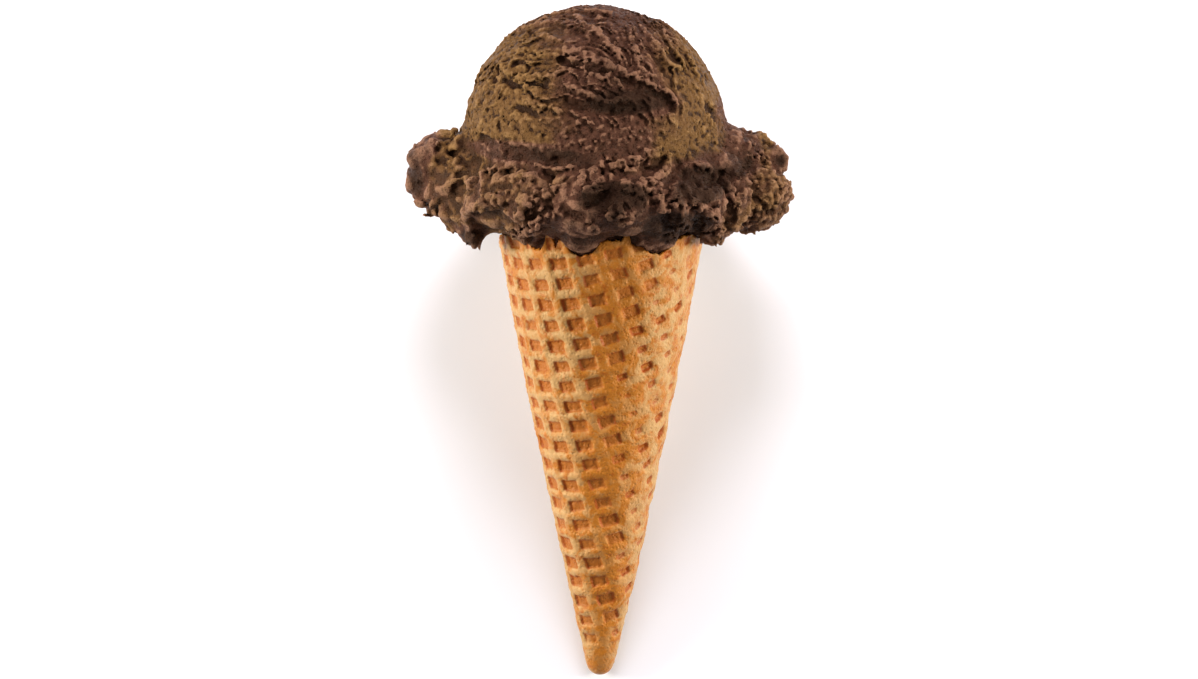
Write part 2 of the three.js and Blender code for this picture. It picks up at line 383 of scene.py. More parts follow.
def lay_down(piece: bpy.types.Object, upright: Points, lying: Lying, finish: bpy.types.Material) -> None:
    """Moves a piece from its upright points to where it lies, and gives it its finish."""
    piece.data.vertices.foreach_set("co", lying.place(upright).astype(np.float32).ravel())
    piece.data.update()
    piece.data.materials.append(finish)


def local_relief(piece: bpy.types.Object, rounds: int) -> np.ndarray:
    """Measures how far each point stands out from the face round it.

    Args:
        piece: The piece, still in millimetres.
        rounds: How often the face is smoothed over its neighbours for the comparison.

    Returns:
        The height over the smoothed face, in millimetres, negative in hollows.
    """
    mesh = piece.data
    points = points_of(piece)
    many = len(points)
    ends = np.empty(2 * len(mesh.edges), np.int32)
    mesh.edges.foreach_get("vertices", ends)
    one, other = ends.reshape(-1, 2).T
    count = np.maximum(np.bincount(ends, minlength=many), 1)
    smooth = points.copy()
    for _ in range(rounds):
        sums = []
        for axis in range(3):
            along = smooth[:, axis]
            sums.append(np.bincount(one, along[other], many) + np.bincount(other, along[one], many))
        smooth = np.stack(sums, axis=1) / count[:, None]
    normals = np.empty(3 * many, np.float32)
    mesh.vertex_normals.foreach_get("vector", normals)
    return np.einsum("ij,ij->i", points - smooth, normals.reshape(-1, 3))


# ----------------------------------------------------------------------------------------------------
# Materials


def ink(red: float, green: float, blue: float) -> Colour:
    """Returns a colour given in screen steps of 0 to 255 as a linear colour."""

    def linear(step: float) -> float:
        """Returns one screen step as linear light."""
        share = step / 255.0
        return share / 12.92 if share <= 0.04045 else ((share + 0.055) / 1.055) ** 2.4

    return (linear(red), linear(green), linear(blue), 1.0)


Socket = bpy.types.NodeSocket


class Bench:
    """A material on the bench: a principled shader, and the nodes that feed it, in millimetres."""

    def __init__(self, name: str) -> None:
        """Starts a material with a bare shader and a ruler in millimetres."""
        self.material = bpy.data.materials.new(name)
        self.material.use_nodes = True
        self.nodes = self.material.node_tree.nodes
        self.links = self.material.node_tree.links
        self.nodes.clear()
        output = self.nodes.new("ShaderNodeOutputMaterial")
        self.shader = self.nodes.new("ShaderNodeBsdfPrincipled")
        self.links.new(self.shader.outputs["BSDF"], output.inputs["Surface"])
        place = self.nodes.new("ShaderNodeTexCoord").outputs["Object"]
        ruler = self.nodes.new("ShaderNodeMapping")
        ruler.inputs["Scale"].default_value = (1.0 / MM, 1.0 / MM, 1.0 / MM)
        self.links.new(place, ruler.inputs["Vector"])
        self.ruler = ruler.outputs["Vector"]

    def feed(self, socket: Socket, value: Socket | float | tuple) -> None:
        """Links a socket, or sets it to a plain value."""
        if isinstance(value, Socket):
            self.links.new(value, socket)
        else:
            socket.default_value = value

    def mask(self, name: str) -> Socket:
        """Returns a number stored on the mesh's points."""
        node = self.nodes.new("ShaderNodeAttribute")
        node.attribute_name = name
        return node.outputs["Fac"]

    def noise(self, size: float, detail: float = 3.0, rough: float = 0.55, warp: float = 0.0) -> Socket:
        """Returns smooth noise with features of about the given size in millimetres."""
        node = self.nodes.new("ShaderNodeTexNoise")
        self.links.new(self.ruler, node.inputs["Vector"])
        node.inputs["Scale"].default_value = 1.0 / size
        node.inputs["Detail"].default_value = detail
        node.inputs["Roughness"].default_value = rough
        node.inputs["Distortion"].default_value = warp
        return node.outputs["Fac"]

    def cells(self, size: float, spread: float = 1.0) -> Socket:
        """Returns the distance to scattered seats about the given size apart, in cells."""
        node = self.nodes.new("ShaderNodeTexVoronoi")
        self.links.new(self.ruler, node.inputs["Vector"])
        node.inputs["Scale"].default_value = 1.0 / size
        node.inputs["Randomness"].default_value = spread
        return node.outputs["Distance"]

    def steps(self, value: Socket, low: float, high: float, start: float = 0.0, end: float = 1.0) -> Socket:
        """Returns a value carried smoothly from one range to another."""
        node = self.nodes.new("ShaderNodeMapRange")
        node.interpolation_type = "SMOOTHSTEP"
        self.links.new(value, node.inputs["Value"])
        node.inputs["From Min"].default_value = low
        node.inputs["From Max"].default_value = high
        node.inputs["To Min"].default_value = start
        node.inputs["To Max"].default_value = end
        return node.outputs["Result"]

    def sum(self, kind: str, one: Socket | float, other: Socket | float) -> Socket:
        """Returns two numbers put together by a Math node of the given kind."""
        node = self.nodes.new("ShaderNodeMath")
        node.operation = kind
        self.feed(node.inputs[0], one)
        self.feed(node.inputs[1], other)
        return node.outputs["Value"]

    def mix(self, share: Socket | float, one: Socket | tuple, other: Socket | tuple) -> Socket:
        """Returns two colours mixed, all of other where share is 1."""
        node = self.nodes.new("ShaderNodeMix")
        node.data_type = "RGBA"
        self.feed(node.inputs["Factor"], share)
        self.feed(node.inputs[6], one)
        self.feed(node.inputs[7], other)
        return node.outputs[2]

    def bump(self, height: Socket, deep: float, over: Socket | None = None) -> Socket:
        """Returns a normal pushed by a height of 0 to 1 that stands so many millimetres deep."""
        node = self.nodes.new("ShaderNodeBump")
        node.inputs["Distance"].default_value = deep * MM
        self.links.new(height, node.inputs["Height"])
        if over is not None:
            self.links.new(over, node.inputs["Normal"])
        return node.outputs["Normal"]


@dataclass(frozen=True)
class ChocolateFinish:
    """Soft chocolate ice cream, olive brown where drier and plum brown where moister, which is partly
    painted light on the sides and painted shade mid-front. Sizes in millimetres.
    """

    patch_size: float = 7.0
    patch_drift: float = 0.24
    grain_size: float = 0.9
    pore_size: float = 0.8
    pore_deep: float = 0.3
    ice_size: float = 0.8
    ice_deep: float = 0.6
    # The next two colours are partly drier and moister ice cream, partly painted light on the sides and
    # painted shade mid-front.
    dry_and_lit: Colour = ink(96, 69, 39)
    moist_and_shaded: Colour = ink(76, 49, 38)
    # The colours of the crests are painted highlights.
    crest_highlight_share: float = 0.75
    dry_crest_highlight: Colour = ink(134, 103, 65)
    moist_crest_highlight: Colour = ink(138, 103, 83)
    # The hollow colour is painted shade in creases; the last colour, darkest, is partly melt and partly
    # painted shade.
    hollow: Colour = ink(47, 30, 20)
    wet_and_shaded: Colour = ink(38, 23, 15)
    roughness: float = 0.45
    roughness_spread: float = 0.1
    gloss: float = 0.08
    gloss_tint: Colour = (1.0, 0.86, 0.74, 1.0)

    def make(self) -> bpy.types.Material:
        """Returns the material."""
        bench = Bench("chocolate_ice_cream")
        proud = bench.mask("proud")
        side_light_and_dryness = bench.mask("side_light_and_dryness")
        drift = bench.noise(self.patch_size, 3.0, 0.6, 0.4)
        drift = bench.steps(drift, 0.3, 0.7, -self.patch_drift, self.patch_drift)
        grain = bench.noise(self.grain_size, 3.0, 0.7)
        patchy = bench.sum("ADD", side_light_and_dryness, drift)
        # Painted light and shade, partly moisture too: olive where the sides face the side lamps, plum
        # brown mid-front.
        colour = bench.mix(bench.steps(patchy, 0.05, 0.95), self.moist_and_shaded, self.dry_and_lit)
        lifted = bench.sum("ADD", proud, bench.steps(grain, 0.25, 0.75, -0.4, 0.4))
        spared = bench.steps(patchy, 0.0, 0.9, 0.4, 1.0)
        # Painted shade: creases and hollows are darkened, less so in the moister places.
        sunk_shade = bench.sum("MULTIPLY", bench.steps(lifted, -1.0, 0.25, 1.0, 0.0), spared)
        colour = bench.mix(sunk_shade, colour, self.hollow)
        # Painted highlights: what stands out is paled, pinkish in the middle, olive on the sides.
        crest_highlight = bench.mix(bench.steps(patchy, 0.05, 0.95), self.moist_crest_highlight, self.dry_crest_highlight)
        colour = bench.mix(bench.steps(lifted, 0.55, 1.7, 0.0, self.crest_highlight_share), colour, crest_highlight)
        # The darkest patches are partly melt and partly painted shade in valleys and under overhangs.
        colour = bench.mix(bench.steps(patchy, -0.75, -0.1, 0.9, 0.0), colour, self.wet_and_shaded)
        bench.feed(bench.shader.inputs["Base Color"], colour)
        smooth, rough = self.roughness - self.roughness_spread, self.roughness + self.roughness_spread
        shine = bench.steps(lifted, -0.8, 0.8, smooth, rough)
        bench.feed(bench.shader.inputs["Roughness"], shine)
        bench.feed(bench.shader.inputs["Specular IOR Level"], self.gloss)
        bench.feed(bench.shader.inputs["Specular Tint"], self.gloss_tint)
        pores = bench.steps(bench.cells(self.pore_size), 0.1, 0.42)
        normal = bench.bump(pores, self.pore_deep)
        normal = bench.bump(bench.noise(self.ice_size, 4.0, 0.75), self.ice_deep, normal)
        bench.feed(bench.shader.inputs["Normal"], normal)
        return bench.material


@dataclass(frozen=True)
class WaferFinish:
    """Baked sugar wafer: pale bubbly bars, painted shade on the recess walls, deeper orange floors and a
    glaze. Sizes in millimetres.
    """

    mottle_size: float = 4.0
    blot_size: float = 1.8
    grain_size: float = 0.7
    bubble_size: float = 1.0
    bubble_deep: float = 0.1
    grain_deep: float = 0.17
    toast_and_shade_share: float = 0.75
    flank_shade_share: float = 0.75
    bar: Colour = ink(170, 135, 88)
    gold: Colour = ink(163, 101, 31)
    toast: Colour = ink(149, 76, 16)
    # Painted shade: this colour darkens the recess walls that the lamps leave in shade.
    flank_shade: Colour = ink(140, 56, 6)
    # The floor colour is partly the pressed wafer's own and partly painted shade and warm bounce light.
    floor: Colour = ink(155, 91, 32)
    roughness: float = 0.42
    gloss: float = 0.25
    gloss_tint: Colour = (1.0, 0.86, 0.66, 1.0)

    def make(self) -> bpy.types.Material:
        """Returns the material."""
        bench = Bench("baked_wafer")
        sunk_shade = bench.mask("sunk_shade")
        flank_shade = bench.mask("flank_shade")
        toast_and_front_shade = bench.mask("toast_and_front_shade")
        mottle = bench.noise(self.mottle_size, 4.0, 0.6, 0.6)
        blots = bench.noise(self.blot_size, 3.0, 0.6, 0.8)
        grain = bench.noise(self.grain_size, 3.0, 0.7)
        # Golden down the middle of the front is painted shade; at the rim and the nose it is toasting.
        toast_and_shade = bench.sum("MULTIPLY", toast_and_front_shade, self.toast_and_shade_share)
        golden = bench.sum("ADD", bench.steps(mottle, 0.4, 0.66), toast_and_shade)
        bar = bench.mix(golden, self.bar, self.gold)
        # Deeper orange recess floors: partly the pressed wafer's own colour, partly painted shade and warm
        # bounce light.
        colour = bench.mix(bench.steps(sunk_shade, 0.25, 0.85), bar, self.floor)
        # Painted shade on the recess walls that face away from the lamps.
        colour = bench.mix(bench.steps(flank_shade, 0.1, 0.9, 0.0, self.flank_shade_share), colour, self.flank_shade)
        spread = bench.steps(mottle, 0.42, 0.6, 0.15, 0.75)
        deeper = bench.sum("MULTIPLY", bench.steps(blots, 0.5, 0.68), spread)
        colour = bench.mix(deeper, colour, self.toast)
        colour = bench.mix(bench.steps(grain, 0.58, 0.75, 0.0, 0.4), colour, self.bar)
        bench.feed(bench.shader.inputs["Base Color"], colour)
        shine = bench.steps(grain, 0.3, 0.7, self.roughness - 0.08, self.roughness + 0.12)
        bench.feed(bench.shader.inputs["Roughness"], shine)
        bench.feed(bench.shader.inputs["Specular IOR Level"], self.gloss)
        bench.feed(bench.shader.inputs["Specular Tint"], self.gloss_tint)
        bubbles = bench.steps(bench.cells(self.bubble_size), 0.15, 0.5)
        normal = bench.bump(bubbles, self.bubble_deep)
        normal = bench.bump(bench.noise(self.grain_size, 4.0, 0.7), self.grain_deep, normal)
        bench.feed(bench.shader.inputs["Normal"], normal)
        return bench.material


@dataclass(frozen=True)
class TableFinish:
    """A plain pale table top."""

    colour: Colour = ink(228, 234, 248)
    cloud_colour: Colour = ink(222, 227, 240)
    cloud_size: float = 120.0
    cloud_share: float = 0.04
    roughness: float = 0.7

    def make(self) -> bpy.types.Material:
        """Returns the material."""
        bench = Bench("pale_table")
        cloud = bench.steps(bench.noise(self.cloud_size, 2.0), 0.3, 0.7, 0.0, self.cloud_share)
        bench.feed(bench.shader.inputs["Base Color"], bench.mix(cloud, self.colour, self.cloud_colour))
        bench.feed(bench.shader.inputs["Roughness"], self.roughness)
        return bench.material


# ----------------------------------------------------------------------------------------------------
# Wafer cone


@dataclass(frozen=True)
class RimTooth:
    """One tooth or gap of the broken rim: its bearing in degrees, and its reach in millimetres."""

    bearing: float
    width: float
    rise: float


@dataclass
class WaferCone:
    """The rolled cone with its pressed waffle pattern, upright, in millimetres."""

    half_angle: float = math.radians(11.3)
    nose_radius: float = 3.7
    length: float = 119.8
    barrel: float = 0.8
    wall: float = 2.3
    nose_fill: float = 10.0
    front_rise: float = 2.4
    seam_step: float = 0.9
    seam_turn: float = math.radians(3.0)
    seam_start: float = 20.0
    rim_band: float = 12.0
    rim_splinter: float = 0.4
    rim_wave: float = 0.35
    cell_wide: float = 7.3
    cell_high: float = 5.58
    pattern_turn: float = math.radians(12.9)
    pattern_shear: float = 0.058
    nose_column: float = 0.31
    nose_row: float = 23.76
    cell_deep: float = 0.8
    cell_half: tuple[float, float] = (0.34, 0.33)
    cell_vary: float = 0.04
    cell_corner: float = 0.8
    cell_wobble: float = 0.25
    bar_dome: float = 0.22
    warp_rise: float = 0.3
    grain_rise: float = 0.09
    bubble_rise: float = 0.13
    lip: float = 1.35
    lip_rise: float = 0.35
    lip_fade: float = 5.0
    columns: int = 480
    rows: int = 350
    nose_rows: int = 14
    lip_rows: int = 7
    inner_rows: int = 60
    outer_skin: float = 1.6
    most_faces: int = 190000
    # Painted shade: a golden band down the middle of the front, where the side lamps reach least.
    front_shade_turn: float = 8.0
    front_shade_drift: float = 9.0
    front_shade_low: float = 36.0
    front_shade_high: float = 19.0
    shown_inner: float = 0.8
    shown_turn: float = 1.3
    shown_slope: float = 24.0
    worn_edge: tuple[tuple[float, float], ...] = (
        (0.0, 30.0),
        (28.0, 29.0),
        (50.0, 25.0),
        (65.0, 16.0),
        (84.0, 10.0),
        (97.0, 19.0),
        (102.0, 29.0),
        (118.0, 33.0),
    )
    teeth: tuple[RimTooth, ...] = (
        RimTooth(-67, 9, 1.0),
        RimTooth(-48, 4, 0.6),
        RimTooth(-38, 6, -2.6),
        RimTooth(-28.8, 1.9, 2.1),
        RimTooth(-25.3, 1.1, -1.8),
        RimTooth(-21.8, 1.8, 0.4),
        RimTooth(-10, 8, -4.0),
        RimTooth(14.2, 1.9, 2.0),
        RimTooth(19.5, 2.6, -1.2),
        RimTooth(33, 10, -3.6),
        RimTooth(57, 7, 1.2),
        RimTooth(78, 5, -1.4),
    )
    grain: Grain = field(default_factory=lambda: Grain(5))

    @property
    def to_point(self) -> float:
        """Returns how far below the nose the cone's sides would meet."""
        return self.nose_radius / math.sin(self.half_angle) - self.nose_radius

    def radius(self, height: np.ndarray) -> np.ndarray:
        """Returns the outside radius at a height, without the roll's spiral."""
        bow = self.barrel * np.sin(math.pi * np.clip(height, 0, self.length) / self.length)
        return (height + self.to_point) * math.tan(self.half_angle) + bow

    def spiral(self, bearing: np.ndarray, height: np.ndarray) -> np.ndarray:
        """Returns how far the roll has climbed outwards at a bearing."""
        share = np.clip((bearing + math.pi) / (2 * math.pi - self.seam_turn), 0.0, 1.0)
        return self.seam_step * (share - 0.5) * np.clip(height / self.seam_start, 0.0, 1.0)

    def rim(self, bearing: np.ndarray) -> np.ndarray:
        """Returns the height of the broken top edge at each bearing."""
        lift = self.front_rise * np.maximum(0.0, np.cos(bearing))
        turn = np.degrees(bearing)
        for tooth in self.teeth:
            lift += tooth.rise * np.exp(-(((turn - tooth.bearing) / tooth.width) ** 4))
        behind = smooth_step(np.abs(turn), 80.0, 110.0)
        round_rim = np.stack([np.sin(bearing) * 5, np.cos(bearing) * 5, bearing * 0], axis=1)
        lift += blend(0.25, 0.9, behind) * self.grain.waves(round_rim)
        lift += self.rim_wave * self.grain.waves(round_rim * 3.3 + 4.0)
        lift += self.rim_splinter * self.grain.waves(round_rim * 9.0 + 8.0)
        return self.length + lift

    def _own_press(self, middle: np.ndarray, own: np.ndarray) -> Pair:
        """Works out how well each cell was pressed: past the worn edge only small slots are left.

        Args:
            middle: The column and row numbers of the cells.
            own: A number between 0 and 1 of each cell's own.

        Returns:
            The size and the depth of each cell's recess, as shares of a whole one.
        """
        down = (middle[:, 1] - self.nose_row) * self.cell_high
        across = (middle[:, 0] - self.nose_column) * self.cell_wide + self.pattern_shear * down
        cosine, sine = math.cos(self.pattern_turn), math.sin(self.pattern_turn)
        sheet_x, sheet_y = across * cosine + down * sine, across * sine - down * cosine
        bearing = np.degrees(np.arctan2(sheet_x, sheet_y) / math.sin(self.half_angle))
        height = np.hypot(sheet_x, sheet_y) * math.cos(self.half_angle) - self.to_point
        heights, bearings = zip(*self.worn_edge)
        worn = smooth_step(bearing - np.interp(height, heights, bearings), -3.0, 5.0)
        worn = worn * smooth_step(-bearing, -150.0, -120.0)
        return blend(1.0, 0.5 + 0.25 * own, worn), blend(1.0, 0.5 + 0.7 * own, worn)

    def recess(self, bearing: np.ndarray, height: np.ndarray) -> Pair:
        """Works out the pressed pattern on the rolled sheet.

        Args:
            bearing: Bearings in radians.
            height: Heights in millimetres.

        Returns:
            How deep each place is pressed, in millimetres, and how much painted shade its recess wall
            takes.
        """
        # Unroll the wafer, and find the column and the row of each place on the flat sheet.
        from_point = (height + self.to_point) / math.cos(self.half_angle)
        turn = bearing * math.sin(self.half_angle)
        sheet_x, sheet_y = from_point * np.sin(turn), from_point * np.cos(turn)
        cosine, sine = math.cos(self.pattern_turn), math.sin(self.pattern_turn)
        across = sheet_x * cosine + sheet_y * sine
        down = sheet_x * sine - sheet_y * cosine
        flat = np.stack([sheet_x, sheet_y, sheet_x * 0], axis=1).astype(np.float32)
        across = across + self.cell_wobble * self.grain.waves(flat / 6.0 + 3.0)
        down = down + self.cell_wobble * self.grain.waves(flat / 6.0 + 31.0)
        column = self.nose_column + (across - self.pattern_shear * down) / self.cell_wide
        row = self.nose_row + down / self.cell_high
        # Each cell is a rectangle with round corners, a little unlike its neighbours.
        middle = np.stack([np.round(column), np.round(row), row * 0], axis=1)
        own = self.grain.luck[self.grain._pick(middle.astype(np.int32))]
        size, press = self._own_press(middle, own)
        wide = self.cell_wide * (self.cell_half[0] + self.cell_vary * (own - 0.5)) * size
        high = self.cell_high * (self.cell_half[1] + self.cell_vary * (own - 0.5)) * size
        edge_x = np.abs(column - middle[:, 0]) * self.cell_wide - wide + self.cell_corner
        edge_y = np.abs(row - middle[:, 1]) * self.cell_high - high + self.cell_corner
        outside = np.hypot(np.maximum(edge_x, 0), np.maximum(edge_y, 0))
        edge = outside + np.minimum(np.maximum(edge_x, edge_y), 0) - self.cell_corner
        edge = edge + 0.2 * self.grain.waves(flat / 1.5)
        # Nothing is pressed next to the seam or on the nose.
        pressed = smooth_step(-edge, -0.15, 0.9)
        clear = smooth_step(np.pi - np.abs(bearing), self.seam_turn, self.seam_turn + 0.05)
        clear = clear * smooth_step(self.radius(height), 4.5, 6.0)
        deep = self.cell_deep * (0.8 + 0.4 * own) * press * pressed * clear
        deep = deep - self.bar_dome * smooth_step(edge, 0.0, 1.3) * clear
        # Painted shade: the upper wall and the wall that faces the middle of the front, which the side
        # lamps leave in shade, take the darkest wall colour; every wall takes a little, and worn slots take
        # all of it.
        outward = blend(-1.0, 1.0, smooth_step(bearing, 0.0, 0.25))
        to_side = smooth_step(outward * (column - middle[:, 0]) * self.cell_wide / wide, 0.2, 0.9)
        to_top = smooth_step((middle[:, 1] - row) * self.cell_high / high, 0.3, 0.9)
        to_side = np.maximum(to_side, 1.0 - smooth_step(size, 0.75, 0.95))
        flank_shade = clear * np.sqrt(press) * smooth_step(-edge, -0.1, 0.4) * smooth_step(edge, -1.1, -0.5)
        flank_shade = flank_shade * blend(0.15, 1.0, np.maximum(to_side, 0.6 * to_top))
        return deep, flank_shade

    def _face(self, bearing: np.ndarray, height: np.ndarray) -> np.ndarray:
        """Returns the outer radius with its pattern and bubbles."""
        deep, _ = self.recess(bearing, height)
        base = self.radius(height) + self.spiral(bearing, height)
        spot = np.stack([base * np.sin(bearing), -base * np.cos(bearing), height], axis=1)
        spot = spot.astype(np.float32)
        swell = self.warp_rise * self.grain.waves(spot / 9.0)
        swell = swell + self.grain_rise * self.grain.layered(spot / 1.4, 2)
        swell += self.bubble_rise * self.grain.nodules(spot / 1.3, 0.5)
        return base - deep + swell * smooth_step(height, 0.0, 8.0)

    def _level(self, height: float, top: np.ndarray) -> np.ndarray:
        """Returns a ring's height at each bearing, drawn to the broken top where it is near the rim."""
        rise = max(0.0, 1.0 - (self.length - height) / self.rim_band)
        return height + rise * (top - self.length)

    def mesh(self) -> Pair:
        """Returns the upright points and the quads of the whole cone."""
        share = np.linspace(0.0, 1.0, self.columns)
        bearing = -math.pi + share * (2 * math.pi - self.seam_turn)
        top = self.rim(bearing)
        curve = np.linspace(0.0, math.pi / 2 - self.half_angle, self.nose_rows)[1:]
        nose = self.nose_radius * (1.0 - np.cos(curve))
        heights = np.concatenate([nose, np.linspace(nose[-1], self.length, self.rows)[1:]])
        rings = []
        for height in heights:
            level = self._level(height, top)
            if height <= nose[-1]:
                bow = self.nose_radius**2 - (self.nose_radius - height) ** 2
                radius = np.full(self.columns, math.sqrt(bow))
            else:
                radius = self._face(bearing, level)
            rings.append((radius, level))
        outer_radius, outer_level = rings[-1]
        for turn in np.linspace(0.0, math.pi, self.lip_rows)[1:-1]:
            inward = outer_radius - self.lip / 2 * (1.0 - math.cos(turn))
            rings.append((inward, outer_level + self.lip_rise * math.sin(turn)))
        thick = self.wall / math.cos(self.half_angle)
        for height in np.linspace(self.length, self.nose_fill, self.inner_rows):
            level = self._level(height, top)
            below = np.clip((self.length - height) / self.lip_fade, 0.0, 1.0)
            worn = self.lip + (thick - self.lip) * below
            inside = self.radius(level) + self.spiral(bearing, level) - worn
            rings.append((np.maximum(inside, 0.6), level))
        points = [np.array([[0.0, 0.0, 0.0]])]
        for radius, level in rings:
            ring = [radius * np.sin(bearing), -radius * np.cos(bearing), level + 0 * bearing]
            points.append(np.stack(ring, axis=1))
        points.append(np.array([[0.0, 0.0, self.nose_fill]]))
        return np.concatenate(points), self._quads(len(rings))

    def _quads(self, rings: int) -> np.ndarray:
        """Returns the quads that join so many rings, and close both ends."""
        column = np.arange(self.columns)
        beside = (column + 1) % self.columns
        last = 1 + rings * self.columns
        first = column[::2]
        second, third = first + 1, (first + 2) % self.columns
        quads = [np.stack([0 * first, 1 + third, 1 + second, 1 + first], axis=1)]
        for ring in range(rings - 1):
            low, high = 1 + ring * self.columns, 1 + (ring + 1) * self.columns
            quads.append(np.stack([low + column, low + beside, high + beside, high + column], axis=1))
        low = 1 + (rings - 1) * self.columns
        quads.append(np.stack([low + first, low + second, low + third, 0 * first + last], axis=1))
        return np.concatenate(quads)

    def toast_and_front_shade(self, points: Points) -> np.ndarray:
        """Returns how golden the wafer is: down the middle of the front in painted shade, where the side
        lamps reach least, and toasted at the rim and the nose.
        """
        turn = np.degrees(bearing_of(points))
        drift = self.front_shade_drift * self.grain.waves((points / 14.0).astype(np.float32))
        wide = blend(self.front_shade_low, self.front_shade_high, smooth_step(points[:, 2], 30.0, 90.0))
        # Painted shade down the middle of the front, where the side lamps reach least.
        middle = np.exp(-(((turn - self.front_shade_turn + drift) / wide) ** 2))
        rim = smooth_step(points[:, 2], self.length - 2.0, self.length + 1.5)
        nose = 1.0 - smooth_step(points[:, 2], 2.0, 7.0)
        return np.clip(middle + 0.7 * rim + 0.5 * nose, 0.0, 1.0)

    def wall_gap(self, points: Points, spare: float) -> np.ndarray:
        """Returns the distance to the cone's wall, grown by a spare width, negative inside it."""
        radius = np.hypot(points[:, 0], points[:, 1])
        height = points[:, 2]
        bearing = bearing_of(points)
        outer = self.radius(height) + self.spiral(bearing, height)
        inner = outer - self.wall / math.cos(self.half_angle)
        gap = np.maximum(radius - outer - spare, inner - spare - radius)
        return np.maximum(gap, height - self.rim(bearing) - spare)

    def shows(self, points: Points, above: float) -> np.ndarray:
        """Returns how deep each point lies in the room kept free before the front of the rim.

        Args:
            points: The points.
            above: How far above the rim the room reaches.

        Returns:
            The depth in millimetres, negative outside the room.
        """
        radius = np.hypot(points[:, 0], points[:, 1])
        bearing = bearing_of(points)
        reach = self.radius(points[:, 2]) + blend(1.5, 9.0, smooth_step(np.cos(bearing), 0.4, 0.8))
        room = np.minimum(self.rim(bearing) + above - points[:, 2], reach - radius)
        room = np.minimum(room, radius - self.radius(points[:, 2]) + self.shown_inner)
        return np.minimum(room, self.shown_slope * (self.shown_turn - np.abs(bearing)))

    def build(self, lying: Lying) -> bpy.types.Object:
        """Makes the piece, dresses it, attaches it to the root and hides the solid that it replaces.

        Args:
            lying: How the cone is laid down.

        Returns:
            The finished piece.
        """
        points, quads = self.mesh()
        piece = make_piece("wafer_cone", points, quads, self.most_faces)
        upright = points_of(piece)
        deep, flank_shade = self.recess(bearing_of(upright), upright[:, 2])
        radius = np.hypot(upright[:, 0], upright[:, 1])
        outside = radius > self.radius(upright[:, 2]) - self.outer_skin
        # These masks carry painted shade to the finish: recess floors, shaded recess walls and the middle
        # of the front.
        write_mask(piece, "sunk_shade", np.where(outside, deep / self.cell_deep, 0.0))
        write_mask(piece, "flank_shade", np.where(outside, flank_shade, 0.0))
        write_mask(piece, "toast_and_front_shade", self.toast_and_front_shade(upright))
        lay_down(piece, upright, lying, WaferFinish().make())
        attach(piece, "root")
        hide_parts("cone")
        return piece


# ----------------------------------------------------------------------------------------------------
# Scoop of ice cream


@dataclass(frozen=True)
class Lump:
    """One lump of the skirt: its bearing and width, and how far out, low and high it reaches."""

    bearing: float
    reach: float
    low: float
    high: float
    width: float
    depth: float = 11.0


@dataclass(frozen=True)
class Ellipsoid:
    """A plain round form: its middle and its half sizes."""

    middle: Triple
    half: Triple

    def gap(self, points: Points) -> np.ndarray:
        """Returns the distance to the form, roughly, negative inside it."""
        away = (points - np.array(self.middle, np.float32)) / np.array(self.half, np.float32)
        scaled = np.sqrt(np.einsum("ij,ij->i", away, away))
        away = away / np.array(self.half, np.float32)
        slope = np.sqrt(np.einsum("ij,ij->i", away, away))
        return scaled * (scaled - 1.0) / np.maximum(slope, 1e-4)


@dataclass(frozen=True)
class Chip:
    """A flat-sided flake: its middle, half its thickness, and the turn and reach of each side."""

    middle: Triple
    thick: float
    sides: tuple[tuple[float, float], ...]

    def gap(self, points: Points) -> np.ndarray:
        """Returns the distance to the flake's flat sides, negative inside it."""
        away = points - np.float32(self.middle)
        gap = np.abs(away[:, 1]) - self.thick
        for turn, reach in self.sides:
            angle = math.radians(turn)
            out = away[:, 0] * math.sin(angle) + away[:, 2] * math.cos(angle)
            gap = np.maximum(gap, out - reach)
        return gap


class Touch(Enum):
    """What a stroke does to the face: adds to it, or takes from it."""

    RIDGE = 1.0
    HOLLOW = -1.0


@dataclass(frozen=True)
class Stroke:
    """One torn ridge or hollow: a rounded cord laid along the face, drawn as seen from the front."""

    kind: Touch
    radius: float
    path: tuple[tuple[float, float], ...]
    rise: float = 0.0

    def laid(self, face: Callable[[float, float], float]) -> Points:
        """Returns the corners of the path on the face, moved out by the stroke's rise."""
        rise = self.rise + (0.35 if self.kind is Touch.RIDGE else -0.1)
        return np.array([(x, face(x, z) - rise, z) for x, z in self.path], np.float32)


def cord_gap(points: Points, corners: Points) -> np.ndarray:
    """Returns each point's distance to a chain of straight lines."""
    if len(corners) == 1:
        return np.linalg.norm(points - corners[0], axis=1)
    nearest = np.full(len(points), 1e9, np.float32)
    for start, end in zip(corners[:-1], corners[1:]):
        line = end - start
        share = np.clip((points - start) @ line / (line @ line), 0.0, 1.0)
        nearest = np.minimum(nearest, np.linalg.norm(points - start - share[:, None] * line, axis=1))
    return nearest


def smooth_least(one: np.ndarray, other: np.ndarray, round_off: float) -> np.ndarray:
    """Returns the smaller of two gaps, with the crease between them rounded."""
    share = np.clip(0.5 + 0.5 * (other - one) / round_off, 0.0, 1.0)
    return blend(other, one, share) - round_off * share * (1.0 - share)


@dataclass(frozen=True)
class Patch:
    """A soft oval area of the front, seen from the front."""

    x: float
    z: float
    wide: float
    high: float
    full: float = 1.0

    def share(self, points: Points) -> np.ndarray:
        """Returns 1 in the middle of the patch, falling to 0 outside it and round the back."""
        across = (points[:, 0] - self.x) / self.wide
        up = (points[:, 2] - self.z) / self.high
        front = smooth_step(-points[:, 1], -16.0, -5.0)
        return self.full * np.exp(-((across**2 + up**2) ** 2)) * front


